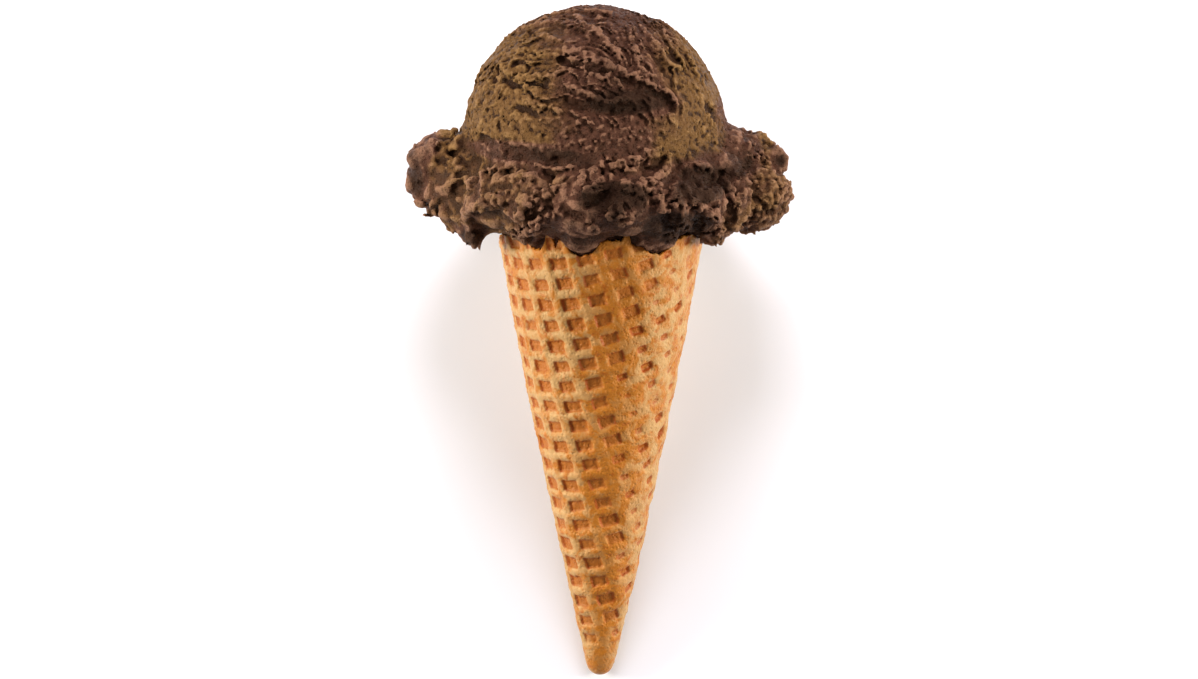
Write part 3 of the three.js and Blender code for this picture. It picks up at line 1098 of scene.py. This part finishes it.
@dataclass
class ChocolateScoop:
    """The torn ball of ice cream and its ragged skirt, upright, in millimetres."""

    cone: WaferCone
    lying: Lying
    dome: Ellipsoid = Ellipsoid((-1.3, 0.0, 147.3), (34.2, 34.2, 33.2))
    collar: Ellipsoid = Ellipsoid((-0.6, 0.0, 131.5), (40.0, 40.0, 10.5))
    lump_base: float = 120.0
    lump_blend: float = 0.9
    plug_deep: float = 21.0
    plug_head: float = 12.0
    spare: float = 0.35
    flake: Chip = Chip(
        (47.3, -1.0, 140.6),
        1.8,
        ((48, 2.1), (93, 2.1), (168, 3.4), (-90, 3.4), (-50, 3.3)),
    )
    flake_blend: float = 0.4
    notch: Ellipsoid = Ellipsoid((-27.3, -12.0, 117.6), (3.9, 22.0, 5.6))
    soften: float = 0.7
    shell: float = 7.0
    ridge_thick: float = 0.68
    hollow_thick: float = 0.8
    ragged_share: float = 0.4
    bend_size: float = 4.5
    bulge_size: float = 6.2
    hole_size: float = 4.4
    knob_size: float = 3.4
    crumb_size: float = 1.8
    speck_size: float = 1.2
    pit_size: float = 1.4
    pit_deep: tuple[float, float] = (0.1, 0.5)
    drag_pole: Triple = (-0.46, -0.875, -0.15)
    drag_radius: float = 34.0
    drag_lip: float = 0.13
    damp_and_shade_share: float = 1.3
    proud_reach: float = 3.0
    near_reach: float = 0.3
    near_rounds: int = 14
    most_faces: int = 195000
    grid: float = 0.42
    space: tuple[Triple, Triple] = ((-56.0, -50.0, 96.0), (56.0, 56.0, 184.0))
    lumps: tuple[Lump, ...] = (
        Lump(-90, 51.5, 4.6, 28, 10.5),
        Lump(-107, 46.5, 6, 27, 10),
        Lump(-78, 45.5, 1, 24, 9),
        Lump(-83, 41.5, 12, 30.4, 7),
        Lump(-69, 40.5, -2.4, 16, 6),
        Lump(-49, 42, 4.6, 21.5, 10),
        Lump(-30, 41.5, 4.1, 21, 8.5),
        Lump(-8, 42.5, 4, 22, 9),
        Lump(11, 42, 4.8, 22.5, 8),
        Lump(27, 41.5, 4, 22, 8),
        Lump(46, 41.5, 4.6, 23.5, 9),
        Lump(-42, 32.5, -0.9, 9, 6),
        Lump(-10, 32.5, -1.6, 9, 6.5),
        Lump(32, 32.5, -1.6, 9, 8),
        Lump(66, 42.5, -0.3, 25, 8.5),
        Lump(84, 50.6, 1.4, 21, 9.5),
        Lump(97, 48.8, 8, 28, 9.5),
        Lump(88, 41.5, 13, 29.6, 9),
        Lump(121, 43.5, 1, 24, 10.5),
        Lump(155, 47.4, 2, 22.5, 9.5),
        Lump(180, 42, 0.5, 23, 10),
        Lump(-155, 47.4, 2, 22.5, 9.5),
        Lump(-129, 44, 3, 25, 10.5),
    )
    dome_strokes: tuple[Stroke, ...] = (
        Stroke(Touch.RIDGE, 1.3, ((-14.5, 177.5), (-9.5, 179.0), (-1.0, 179.5), (3.0, 179.0))),
        Stroke(
            Touch.RIDGE,
            1.5,
            ((-19.0, 175.0), (-14.0, 176.5), (-4.0, 176.5), (0.0, 174.5), (2.5, 172.0)),
        ),
        Stroke(Touch.RIDGE, 1.0, ((2.5, 172.0), (4.5, 170.5), (5.0, 168.5))),
        Stroke(Touch.RIDGE, 0.9, ((-18.5, 172.5), (-14.5, 174.0), (-10.0, 172.5))),
        Stroke(Touch.RIDGE, 1.0, ((-20.5, 170.0), (-17.0, 168.5), (-12.0, 169.5), (-9.5, 170.5))),
        Stroke(
            Touch.RIDGE,
            1.2,
            ((-10.0, 170.5), (-3.0, 170.0), (2.0, 167.5), (7.0, 165.0), (13.5, 164.5)),
        ),
        Stroke(Touch.HOLLOW, 1.6, ((-9.5, 168.3), (-5.0, 167.2), (1.0, 165.3))),
        Stroke(
            Touch.RIDGE,
            1.4,
            ((-25.0, 166.5), (-23.5, 164.8), (-20.5, 163.8), (-12.5, 164.7), (-9.0, 166.0)),
        ),
        Stroke(Touch.HOLLOW, 1.1, ((-24.5, 162.8), (-20.5, 161.6), (-14.0, 162.4))),
        Stroke(Touch.HOLLOW, 1.0, ((-26.0, 165.0), (-27.0, 162.5))),
        Stroke(Touch.RIDGE, 1.0, ((8.0, 174.0), (9.0, 170.0), (10.0, 166.5), (13.0, 164.0))),
        Stroke(Touch.RIDGE, 1.1, ((11.0, 175.0), (15.0, 171.0), (17.5, 167.0), (20.5, 165.5))),
        Stroke(Touch.RIDGE, 0.9, ((16.0, 175.0), (18.5, 170.5), (21.5, 167.0))),
        Stroke(Touch.RIDGE, 1.0, ((20.5, 171.5), (23.0, 168.0), (25.0, 163.5))),
        Stroke(Touch.HOLLOW, 1.2, ((12.0, 171.5), (14.5, 168.0), (17.0, 164.5))),
        Stroke(Touch.HOLLOW, 0.9, ((16.5, 172.5), (19.5, 168.0), (22.0, 164.5))),
        Stroke(
            Touch.RIDGE,
            1.0,
            ((1.0, 168.0), (6.0, 165.5), (12.0, 163.0), (17.0, 160.5), (19.5, 157.5)),
        ),
        Stroke(Touch.HOLLOW, 1.5, ((4.5, 163.4), (11.0, 161.6), (16.0, 159.3), (18.0, 156.5))),
        Stroke(Touch.RIDGE, 0.9, ((-4.0, 165.3), (0.0, 164.5), (2.5, 165.0))),
        Stroke(Touch.RIDGE, 0.6, ((4.0, 164.0), (5.5, 161.5)), 0.4),
        Stroke(Touch.RIDGE, 0.9, ((-7.0, 162.0), (-3.0, 160.5), (2.0, 158.3), (6.5, 159.7)), 0.5),
        Stroke(Touch.HOLLOW, 1.8, ((-8.0, 158.0), (-2.5, 156.8), (5.0, 156.3), (9.0, 157.0))),
        Stroke(Touch.RIDGE, 1.0, ((-18.5, 159.0), (-15.0, 157.5), (-10.0, 156.2))),
        Stroke(Touch.HOLLOW, 1.0, ((-21.0, 156.6), (-16.5, 155.2))),
        Stroke(Touch.RIDGE, 0.6, ((-5.8, 152.8), (-4.5, 154.6), (-3.0, 154.2), (-1.5, 152.5)), 0.4),
        Stroke(Touch.HOLLOW, 1.5, ((27.5, 156.0), (30.0, 152.5))),
        Stroke(Touch.HOLLOW, 1.4, ((-31.0, 148.0), (-28.0, 147.0))),
    )
    skirt_strokes: tuple[Stroke, ...] = (
        Stroke(Touch.RIDGE, 1.6, ((-42.0, 145.5),), 0.5),
        Stroke(Touch.RIDGE, 1.4, ((-38.0, 148.0),), 0.5),
        Stroke(Touch.HOLLOW, 1.6, ((-43.0, 139.0),), 0.3),
        Stroke(Touch.HOLLOW, 1.1, ((-44.5, 134.5),), 0.3),
        Stroke(Touch.HOLLOW, 1.3, ((-47.5, 135.0), (-47.3, 131.5))),
        Stroke(Touch.RIDGE, 1.0, ((-38.0, 136.5), (-34.5, 137.5), (-33.5, 135.5)), 0.5),
        Stroke(
            Touch.RIDGE,
            2.3,
            ((-24.5, 133.8), (-27.5, 134.0), (-30.5, 132.0), (-34.0, 129.5), (-34.5, 126.5)),
        ),
        Stroke(Touch.HOLLOW, 1.7, ((-31.5, 128.6), (-26.0, 129.5))),
        Stroke(Touch.RIDGE, 2.6, ((-33.0, 127.0), (-33.0, 121.6))),
        Stroke(Touch.RIDGE, 1.7, ((-20.5, 130.0), (-18.5, 133.0), (-15.0, 135.0), (-11.5, 137.0))),
        Stroke(Touch.HOLLOW, 1.6, ((-17.5, 129.5), (-13.0, 132.0))),
        Stroke(Touch.RIDGE, 1.3, ((-20.5, 123.5), (-18.0, 126.5), (-15.5, 128.5))),
        Stroke(Touch.RIDGE, 1.4, ((-22.5, 139.0), (-19.5, 140.0), (-17.0, 139.5))),
        Stroke(Touch.HOLLOW, 2.3, ((-24.0, 145.3), (-16.0, 144.0), (-9.0, 142.5)), 1.2),
        Stroke(Touch.RIDGE, 0.9, ((-26.5, 142.5), (-21.0, 142.0))),
        Stroke(Touch.RIDGE, 0.7, ((-16.0, 142.5), (-12.0, 141.5), (-7.5, 142.5), (-6.0, 142.0)), 0.3),
        Stroke(Touch.RIDGE, 1.2, ((-30.0, 139.5), (-26.0, 141.0), (-21.5, 142.0))),
        Stroke(Touch.HOLLOW, 1.4, ((-29.0, 136.5), (-23.0, 137.0))),
        Stroke(Touch.RIDGE, 1.8, ((-4.0, 140.5), (0.5, 142.0), (5.5, 142.5), (10.0, 145.0), (14.0, 146.0))),
        Stroke(Touch.RIDGE, 1.2, ((13.0, 139.5), (15.5, 140.3), (17.2, 142.0), (17.5, 144.5)), 0.4),
        Stroke(Touch.HOLLOW, 1.6, ((17.0, 138.3), (20.0, 141.5))),
        Stroke(
            Touch.RIDGE,
            1.7,
            ((10.0, 136.5), (10.5, 138.7), (14.0, 137.7), (15.2, 135.0), (15.5, 132.0)),
        ),
        Stroke(Touch.RIDGE, 1.6, ((18.0, 136.5), (19.5, 133.5), (20.5, 130.5), (21.5, 127.0))),
        Stroke(Touch.RIDGE, 1.3, ((21.5, 137.0), (22.0, 134.5), (24.5, 132.5))),
        Stroke(Touch.RIDGE, 1.8, ((26.0, 131.5), (29.0, 130.5), (30.5, 127.0), (31.3, 124.0))),
        Stroke(Touch.RIDGE, 0.8, ((31.0, 123.5), (30.3, 120.6))),
        Stroke(Touch.HOLLOW, 4.6, ((23.5, 141.0), (27.5, 140.0), (32.0, 138.5)), 1.7),
        Stroke(Touch.HOLLOW, 2.4, ((33.5, 131.5), (33.0, 126.5))),
        Stroke(Touch.HOLLOW, 2.2, ((16.5, 129.5), (17.5, 126.0))),
        Stroke(Touch.HOLLOW, 2.0, ((25.0, 127.5), (25.5, 124.5))),
        Stroke(Touch.RIDGE, 1.2, ((2.5, 131.0), (5.0, 133.0), (7.5, 130.0), (5.0, 128.5)), 0.3),
        Stroke(Touch.RIDGE, 1.3, ((6.0, 138.5),), 0.5),
        Stroke(Touch.RIDGE, 1.3, ((-3.0, 137.0), (-1.5, 137.4)), 0.4),
        Stroke(Touch.RIDGE, 1.2, ((-2.0, 128.5),), 0.5),
        Stroke(Touch.HOLLOW, 1.8, ((-9.0, 132.0), (-5.0, 130.0))),
        Stroke(Touch.HOLLOW, 1.5, ((-3.0, 133.8), (1.5, 135.5))),
        Stroke(Touch.RIDGE, 1.1, ((32.5, 136.5), (34.5, 133.5), (35.5, 130.5))),
    )
    porous: tuple[Patch, ...] = (
        Patch(-26.0, 152.5, 12.0, 9.0),
        Patch(28.0, 149.0, 7.5, 10.0),
    )
    melted: tuple[Patch, ...] = (
        Patch(-46.0, 144.5, 4.0, 4.0, 0.7),
        Patch(-31.5, 126.0, 6.0, 7.5),
        Patch(27.0, 138.0, 7.0, 6.0),
        Patch(-16.0, 142.5, 14.0, 3.5),
        Patch(3.0, 129.0, 29.0, 11.0, 0.85),
    )
    # Darker patches: partly moisture, partly painted shade in valleys and under overhangs.
    damp_and_shaded: tuple[Patch, ...] = (
        Patch(-46.5, 146.0, 5.0, 4.5),
        Patch(-48.5, 139.0, 3.6, 9.0, 0.85),
        Patch(38.5, 143.5, 5.0, 5.0, 0.5),
        Patch(-33.0, 122.0, 4.0, 3.5),
        Patch(27.0, 138.0, 8.5, 6.0),
        Patch(36.5, 145.0, 4.5, 7.0),
        Patch(-22.0, 145.5, 14.0, 2.5),
        Patch(21.0, 126.0, 9.0, 5.0),
        Patch(4.0, 136.0, 8.0, 3.0),
        Patch(9.0, 158.0, 11.0, 3.0),
        Patch(47.2, 141.6, 2.6, 3.6),
        Patch(3.0, 129.0, 26.0, 10.0, 0.35),
        Patch(3.0, 163.0, 14.0, 8.0, 0.2),
        Patch(-18.0, 144.0, 14.0, 3.5, 0.4),
        Patch(32.0, 153.5, 2.5, 5.5, 0.6),
    )
    clusters: tuple[Patch, ...] = (
        Patch(1.5, 139.3, 1.9, 1.9),
        Patch(7.0, 138.4, 2.2, 2.0),
        Patch(12.5, 136.4, 3.8, 4.0),
        Patch(5.0, 131.3, 4.0, 3.4),
        Patch(-1.5, 127.0, 1.9, 1.9),
        Patch(19.6, 131.2, 2.7, 5.6),
        Patch(23.7, 133.2, 2.4, 2.0),
        Patch(28.3, 126.5, 3.0, 4.5),
        Patch(18.1, 123.4, 1.9, 1.6),
        Patch(6.0, 143.2, 7.0, 2.2),
        Patch(-15.6, 134.3, 5.0, 3.6),
        Patch(-17.9, 126.6, 3.0, 2.8),
        Patch(-22.2, 125.4, 2.4, 2.4),
        Patch(-13.3, 129.9, 2.4, 1.9),
        Patch(-18.4, 139.3, 4.5, 1.8),
        Patch(-1.5, 138.8, 4.3, 2.6),
    )
    crumbly: tuple[Patch, ...] = (
        Patch(2.0, 149.5, 19.0, 6.0),
        Patch(42.0, 134.0, 10.0, 14.0),
    )
    grain: Grain = field(default_factory=lambda: Grain(11))
    tear: Grain = field(default_factory=lambda: Grain(23))
    laid: list[tuple[Stroke, Points, Points, Points]] = field(default_factory=list, init=False)

    def form(self, points: Points) -> np.ndarray:
        """Returns the distance to the smooth forms blended together."""
        gaps = [self.dome.gap(points), self.collar.gap(points)]
        for lump in self.lumps:
            bearing = math.radians(lump.bearing)
            sine, cosine = math.sin(bearing), math.cos(bearing)
            x, y, z = points.T
            turned = np.stack([x * sine - y * cosine, x * cosine + y * sine, z], axis=1)
            middle = (lump.reach - lump.depth, 0.0, self.lump_base + (lump.low + lump.high) / 2)
            half = (lump.depth, lump.width, (lump.high - lump.low) / 2)
            gaps.append(Ellipsoid(middle, half).gap(turned))
        nearest = np.minimum.reduce(gaps)
        total = sum(np.exp((nearest - gap) / self.lump_blend) for gap in gaps)
        return nearest - self.lump_blend * np.log(total)

    def _front_face(self, x: float, z: float) -> float:
        """Returns the y at which a line of sight from the front meets the smooth form."""
        ys = np.linspace(-60.0, 40.0, 501)
        line = np.stack([0 * ys + x, ys, 0 * ys + z], axis=1).astype(np.float32)
        inside = self.form(line) < 0
        return float(ys[inside.argmax()]) if inside.any() else 0.0

    def _stroked(self, points: Points, face: np.ndarray, ragged: np.ndarray) -> Pair:
        """Adds the ridges to a gap and takes the hollows from it.

        Args:
            points: The points.
            face: The gap at them so far.
            ragged: How much wider the strokes are at each point, as a share.

        Returns:
            The new gap, and how much each point belongs to a ridge.
        """
        face = face.copy()
        raised = np.zeros(len(points), np.float32)
        for stroke, corners, low, high in self.laid:
            near = np.all((points > low) & (points < high), axis=1)
            if not near.any():
                continue
            thick = self.ridge_thick if stroke.kind is Touch.RIDGE else self.hollow_thick
            wide = stroke.radius * (thick + self.ragged_share * ragged[near])
            cord = cord_gap(points[near], corners) - wide
            if stroke.kind is Touch.RIDGE:
                face[near] = smooth_least(face[near], cord, self.soften)
                raised[near] = np.maximum(raised[near], np.clip(1.2 - cord / 0.9, 0.0, 1.0))
            else:
                face[near] = -smooth_least(-face[near], cord, self.soften)
        return face, raised

    def _lay_strokes(self) -> list[tuple[Stroke, Points, Points, Points]]:
        """Returns each stroke with its corners on the face and the box that it touches."""
        laid = []
        for stroke in self.dome_strokes + self.skirt_strokes:
            corners = stroke.laid(self._front_face)
            room = 1.6 * stroke.radius + 2.5
            laid.append((stroke, corners, corners.min(axis=0) - room, corners.max(axis=0) + room))
        return laid

    def _drag_marks(self, points: Points, form: np.ndarray) -> np.ndarray:
        """Returns the torn ledges that the scoop dragged round the dome."""
        heart = np.array(self.dome.middle, np.float32)
        pole = np.array(self.drag_pole, np.float32)
        pole /= np.linalg.norm(pole)
        side = np.cross(pole, np.array([0.0, 0.0, 1.0], np.float32))
        side /= np.linalg.norm(side)
        up = np.cross(side, pole)
        away = points - heart
        reach = np.maximum(np.linalg.norm(away, axis=1), 1.0)
        arc = self.drag_radius * np.arccos(np.clip(away @ pole / reach, -1.0, 1.0))
        arc = arc + 3.0 * self.grain.layered(points / 12.0, 2) + 0.9 * form
        along = np.stack([away @ side, away @ up], axis=1)
        crowd = smooth_step(points[:, 0], -14.0, 20.0)
        # Two sizes of ledge: each climbs steeply to its lip and falls gently behind it.
        total = np.zeros(len(points), np.float32)
        for spacing, stretch, tall, tear in ((3.4, 9.0, 1.5, self.tear), (1.9, 3.6, 0.5, self.grain)):
            pitch = spacing * blend(1.0, 0.8, crowd)
            ruler = np.column_stack([arc / (1.2 * spacing), along / stretch]).astype(np.float32)
            phase = arc / pitch + 1.2 * tear.waves(ruler) + 0.13 * tear.waves(ruler * 4.0)
            share = phase - np.floor(phase)
            climb, fall = share / self.drag_lip, (0.5 - share) / (0.5 - self.drag_lip)
            lip = np.maximum(np.minimum(climb, fall), 0.0)
            size = smooth_step(tear.waves(ruler * 0.9 + 40.0), -0.4, 0.3)
            size = size * blend(1.0, 0.75, crowd)
            total += tall * size * (lip - 0.25) + 0.2 * tall * (0.5 - share)
        # Thin threads stand between the ledges, and all of it is calmer at the right.
        ruler = np.column_stack([arc / 1.5, along / 2.4]).astype(np.float32)
        thread = np.maximum(1.0 - 3.6 * np.abs(self.tear.waves(ruler + 11.0)), 0.0)
        calmer = 1.0 - 0.65 * smooth_step(points[:, 0], 17.0, 24.0)
        return (total + 0.4 * thread - 0.1) * calmer

    def _areas(self, points: Points) -> tuple[np.ndarray, ...]:
        """Returns how porous, melted, crumbly, darkened by moisture and painted shade, and clustered the
        face is at each point.
        """
        shares = []
        for patches in (self.porous, self.melted, self.crumbly, self.damp_and_shaded, self.clusters):
            shares.append(np.clip(sum(patch.share(points) for patch in patches), 0.0, 1.0))
        return tuple(shares)

    def relief(self, points: Points, form: np.ndarray) -> tuple[np.ndarray, ...]:
        """Works out all that stands on the smooth form.

        Args:
            points: Points near the face.
            form: The gap of the smooth form at them.

        Returns:
            How far the face stands out at each point before the strokes and after them, and how
            far the crumbs stand out on a ridge.
        """
        porous, melted, crumbly, _, cluster = self._areas(points)
        left = smooth_step(-points[:, 0], 22.0, 34.0) * (1.0 - smooth_step(points[:, 2], 142.0, 148.0))
        crumbly = np.maximum(crumbly, 0.45) * (1.0 - 0.5 * left)
        # Bend space a little, so that no form repeats plainly.
        steady = points / self.bend_size
        push = np.stack([self.grain.waves(steady), self.tear.waves(steady + 50.0)], axis=1)
        bent = points + push @ np.array([[1.3, 0.5, 0.9], [-0.7, 1.2, 1.0]], np.float32)
        # Drag marks on the dome, crags on the skirt.
        aside = np.hypot(points[:, 0], points[:, 1])
        below = 1.0 - smooth_step(points[:, 2], 139.0, 146.0)
        skirt = np.maximum(below, smooth_step(aside, 35.5, 38.5))
        torn = smooth_step(points[:, 2] + 3.0 * push[:, 0], 149.0, 156.0)
        above = points[:, 2] - self.dome.middle[2]
        facing = (0.17 * above - 0.985 * points[:, 1]) / self.dome.half[0]
        torn = torn * (1.0 - 0.45 * np.exp(-((facing / 0.4) ** 2)))
        marks = torn * self._drag_marks(points + 0.5 * (bent - points), form)
        marks = marks + 0.7 * self.grain.waves(points / 12.0)
        bulge = np.minimum(1.8 * np.abs(self.tear.waves(bent / self.bulge_size)), 1.0)
        knobs = self.grain.nodules(bent / self.knob_size)
        hole = smooth_step(self.grain.waves(bent / self.hole_size + 70.0), 0.5, 0.8)
        crags = 1.7 * (bulge - 0.6) + 1.5 * (knobs - 0.5) - 0.9 * hole - 0.3
        crags = crags * (1.0 - 0.75 * melted) * blend(1.0, 0.6, crumbly)
        base = blend(marks, crags, skirt) * blend(1.0, 0.35, porous)
        # Crumbs where it is crumbly, pits where it is porous, and heaps of crumbs in the clusters.
        eased = points + 0.4 * (bent - points)
        large = self.tear.nodules(eased / self.crumb_size) - 0.5
        small = self.grain.nodules(points / self.speck_size) - 0.5
        crumbs = blend(0.35, 1.4, skirt) * large + blend(0.9, 0.6, skirt) * small
        fine = crumbly * (1.0 - 0.8 * porous) * (1.0 - 0.9 * melted) * crumbs
        pits = smooth_step(self.tear.nodules(points / self.pit_size + 7.0, 0.5), 0.3, 0.85)
        pits += smooth_step(self.tear.waves(points / 1.3 + 5.0), 0.2, 0.6)
        fine -= blend(*self.pit_deep, porous) * (1.0 - 0.8 * melted) * pits
        even = self.grain.waves(points / self.speck_size)
        fine += blend(0.22, 0.3, porous) * (1.0 - 0.6 * melted) * even
        cluster = smooth_step(cluster + 0.35 * self.tear.waves(points / 2.0), 0.3, 0.7)
        fine += cluster * (0.6 + 0.9 * large + 0.6 * small + 0.3 * self.tear.waves(points / 0.95))
        return base, fine, crumbs * blend(0.5, 0.7, skirt) * (1.0 - left)

    def side_light_and_dryness(self, points: Points) -> np.ndarray:
        """Returns how pale the face is painted: lighter on the sides of the front, where the side lamps
        fall, darker mid-front in painted shade, darker still in the patches of moisture and painted shade.
        """
        drift = 4.0 * self.grain.waves((points / 9.0).astype(np.float32))
        # Painted light: the sides of the front are paler than its middle, which stays in painted shade.
        aside = smooth_step(np.abs(points[:, 0] + drift - 2.0), 3.0, 24.0)
        aside = aside * (1.0 - 0.5 * smooth_step(points[:, 2], 168.0, 178.0))
        skirt = blend(0.5, 0.4, smooth_step(points[:, 0], -10.0, 10.0))
        aside = aside * blend(skirt, 1.0, smooth_step(points[:, 2], 138.0, 146.0))
        return aside - self.damp_and_shade_share * self._areas(points)[3]

    def gap(self, points: Points) -> np.ndarray:
        """Returns the distance to the finished ice cream, negative inside it."""
        form = self.form(points)
        shown = form.copy()
        near = np.abs(form) < self.shell
        base, fine, crumbs = self.relief(points[near], form[near])
        ragged = self.grain.waves(points[near] / 1.9 + 90.0)
        stroked, raised = self._stroked(points[near], form[near] - base, ragged)
        shown[near] = stroked - fine - raised * crumbs
        flake = self.flake.gap(points[near]) + 0.35 * ragged
        shown[near] = smooth_least(shown[near], flake, self.flake_blend)
        # The plug fills the mouth, and the cone, the rim and the table cut what reaches into them.
        radius = np.hypot(points[:, 0], points[:, 1])
        foot = self.cone.length - self.plug_deep
        wall = self.cone.radius(points[:, 2]) - self.cone.wall / 2
        plug = np.maximum(radius - wall, points[:, 2] - self.cone.length - self.plug_head)
        plug = np.maximum(plug, foot + 3.0 * (radius / 20.0) ** 2 - points[:, 2])
        whole = np.minimum(shown, plug)
        whole = np.maximum(whole, -self.cone.wall_gap(points, self.spare))
        whole = np.maximum(whole, self.cone.shows(points, self.spare))
        whole = np.maximum(whole, -self.notch.gap(points))
        return np.maximum(whole, -self.lying.height(points))

    def build(self) -> bpy.types.Object:
        """Makes the piece, dresses it, attaches it to the root and hides the solid that it replaces."""
        self.laid = self._lay_strokes()
        low, high = np.array(self.space)
        step = self.grid
        points, quads = SurfaceNet(step).weave(self.gap, low, high)
        LOG.info("scoop net: %d quads", len(quads))
        piece = make_piece("chocolate_scoop", points, quads, self.most_faces)
        upright = points_of(piece)
        # The finish paints highlights on what stands out here and shade in what lies low.
        proud = in_chunks(self.form, upright)
        near = local_relief(piece, self.near_rounds)
        stands = proud / self.proud_reach + near / self.near_reach
        write_mask(piece, "proud", np.clip(stands, -1.5, 1.5))
        write_mask(piece, "side_light_and_dryness", self.side_light_and_dryness(upright))
        lay_down(piece, upright, self.lying, ChocolateFinish().make())
        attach(piece, "root")
        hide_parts("scoop")
        return piece


# ----------------------------------------------------------------------------------------------------
# Studio


@dataclass(frozen=True)
class Lamp:
    """A soft lamp: where it stands and looks, in metres, its size, power and colour."""

    name: str
    place: Triple
    target: Triple
    size: tuple[float, float]
    power: float
    colour: Triple

    def hang(self) -> None:
        """Adds the lamp to the scene."""
        data = bpy.data.lights.new(self.name, "AREA")
        data.shape = "RECTANGLE"
        data.size, data.size_y = self.size
        data.energy = self.power
        data.color = self.colour
        lamp = bpy.data.objects.new(self.name, data)
        lamp.location = self.place
        aim = Vector(self.target) - Vector(self.place)
        lamp.rotation_euler = aim.to_track_quat("-Z", "Y").to_euler()
        bpy.context.scene.collection.objects.link(lamp)


@dataclass
class Studio:
    """The pale table, the soft lamps and the camera."""

    lying: Lying
    table_half: float = 1.5
    sensor: float = 36.0
    clip_start: float = 0.01
    aim_height: float = 92.3
    aim_across: float = -0.27
    distance: float = 750.0
    elevation: float = math.radians(10.0)
    lens: float = 84.73
    world: Colour = (1.0, 0.92, 0.86, 1.0)
    world_power: float = 0.42
    lamps: tuple[Lamp, ...] = (
        Lamp("left_softbox", (-0.56, 0.05, 0.21), (0, -0.01, 0.03), (0.22, 0.2), 5.9, (1.0, 0.93, 0.79)),
        Lamp("right_softbox", (0.56, 0.05, 0.21), (0, -0.01, 0.03), (0.22, 0.2), 5.25, (1.0, 0.93, 0.79)),
        Lamp("top_softbox", (0.0, 0.5, 0.5), (0, 0.06, 0.03), (0.26, 0.16), 3.6, (1.0, 0.88, 0.86)),
    )

    def table(self) -> bpy.types.Object:
        """Lays the table top, which isn't part of the object."""
        half = self.table_half
        mesh = bpy.data.meshes.new("table_top")
        corners = [(-half, -half, 0), (half, -half, 0), (half, half, 0), (-half, half, 0)]
        mesh.from_pydata(corners, [], [(0, 1, 2, 3)])
        top = bpy.data.objects.new("table_top", mesh)
        top.data.materials.append(TableFinish().make())
        bpy.context.scene.collection.objects.link(top)
        return top

    def camera(self) -> bpy.types.Object:
        """Stands the camera square to the cone, a little above its mouth, and makes it the scene's."""
        data = bpy.data.cameras.new("camera")
        data.sensor_width = self.sensor
        data.lens = self.lens
        data.clip_start = self.clip_start
        aim = Vector(self.lying.place(np.array([[self.aim_across, 0.0, self.aim_height]]))[0])
        sine, cosine = math.sin(self.elevation), math.cos(self.elevation)
        back = self.lying.direction((0.0, -cosine, sine))
        up = self.lying.direction((0.0, sine, cosine))
        right = up.cross(back)
        place = aim + back * self.distance * MM
        camera = bpy.data.objects.new("camera", data)
        axes = Matrix((right, up, back)).transposed().to_4x4()
        camera.matrix_world = Matrix.Translation(place) @ axes
        bpy.context.scene.collection.objects.link(camera)
        bpy.context.scene.camera = camera
        return camera

    def build(self) -> None:
        """Sets up the table, lamps, surroundings and camera."""
        self.table()
        for lamp in self.lamps:
            lamp.hang()
        world = bpy.data.worlds.new("soft_room")
        world.use_nodes = True
        sky = world.node_tree.nodes["Background"]
        sky.inputs["Color"].default_value = self.world
        sky.inputs["Strength"].default_value = self.world_power
        bpy.context.scene.world = world
        bpy.context.scene.view_settings.view_transform = "Standard"
        self.camera()


def main() -> None:
    """Loads the frame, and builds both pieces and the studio."""
    logging.basicConfig(level=logging.INFO, format="%(name)s: %(message)s")
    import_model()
    lying = Lying()
    cone = WaferCone()
    wafer = cone.build(lying)
    LOG.info("built %s with %d faces", wafer.name, len(wafer.data.polygons))
    scoop = ChocolateScoop(cone, lying).build()
    LOG.info("built %s with %d faces", scoop.name, len(scoop.data.polygons))
    Studio(lying).build()
    LOG.info("the studio is ready")


if __name__ == "__main__":
    main()
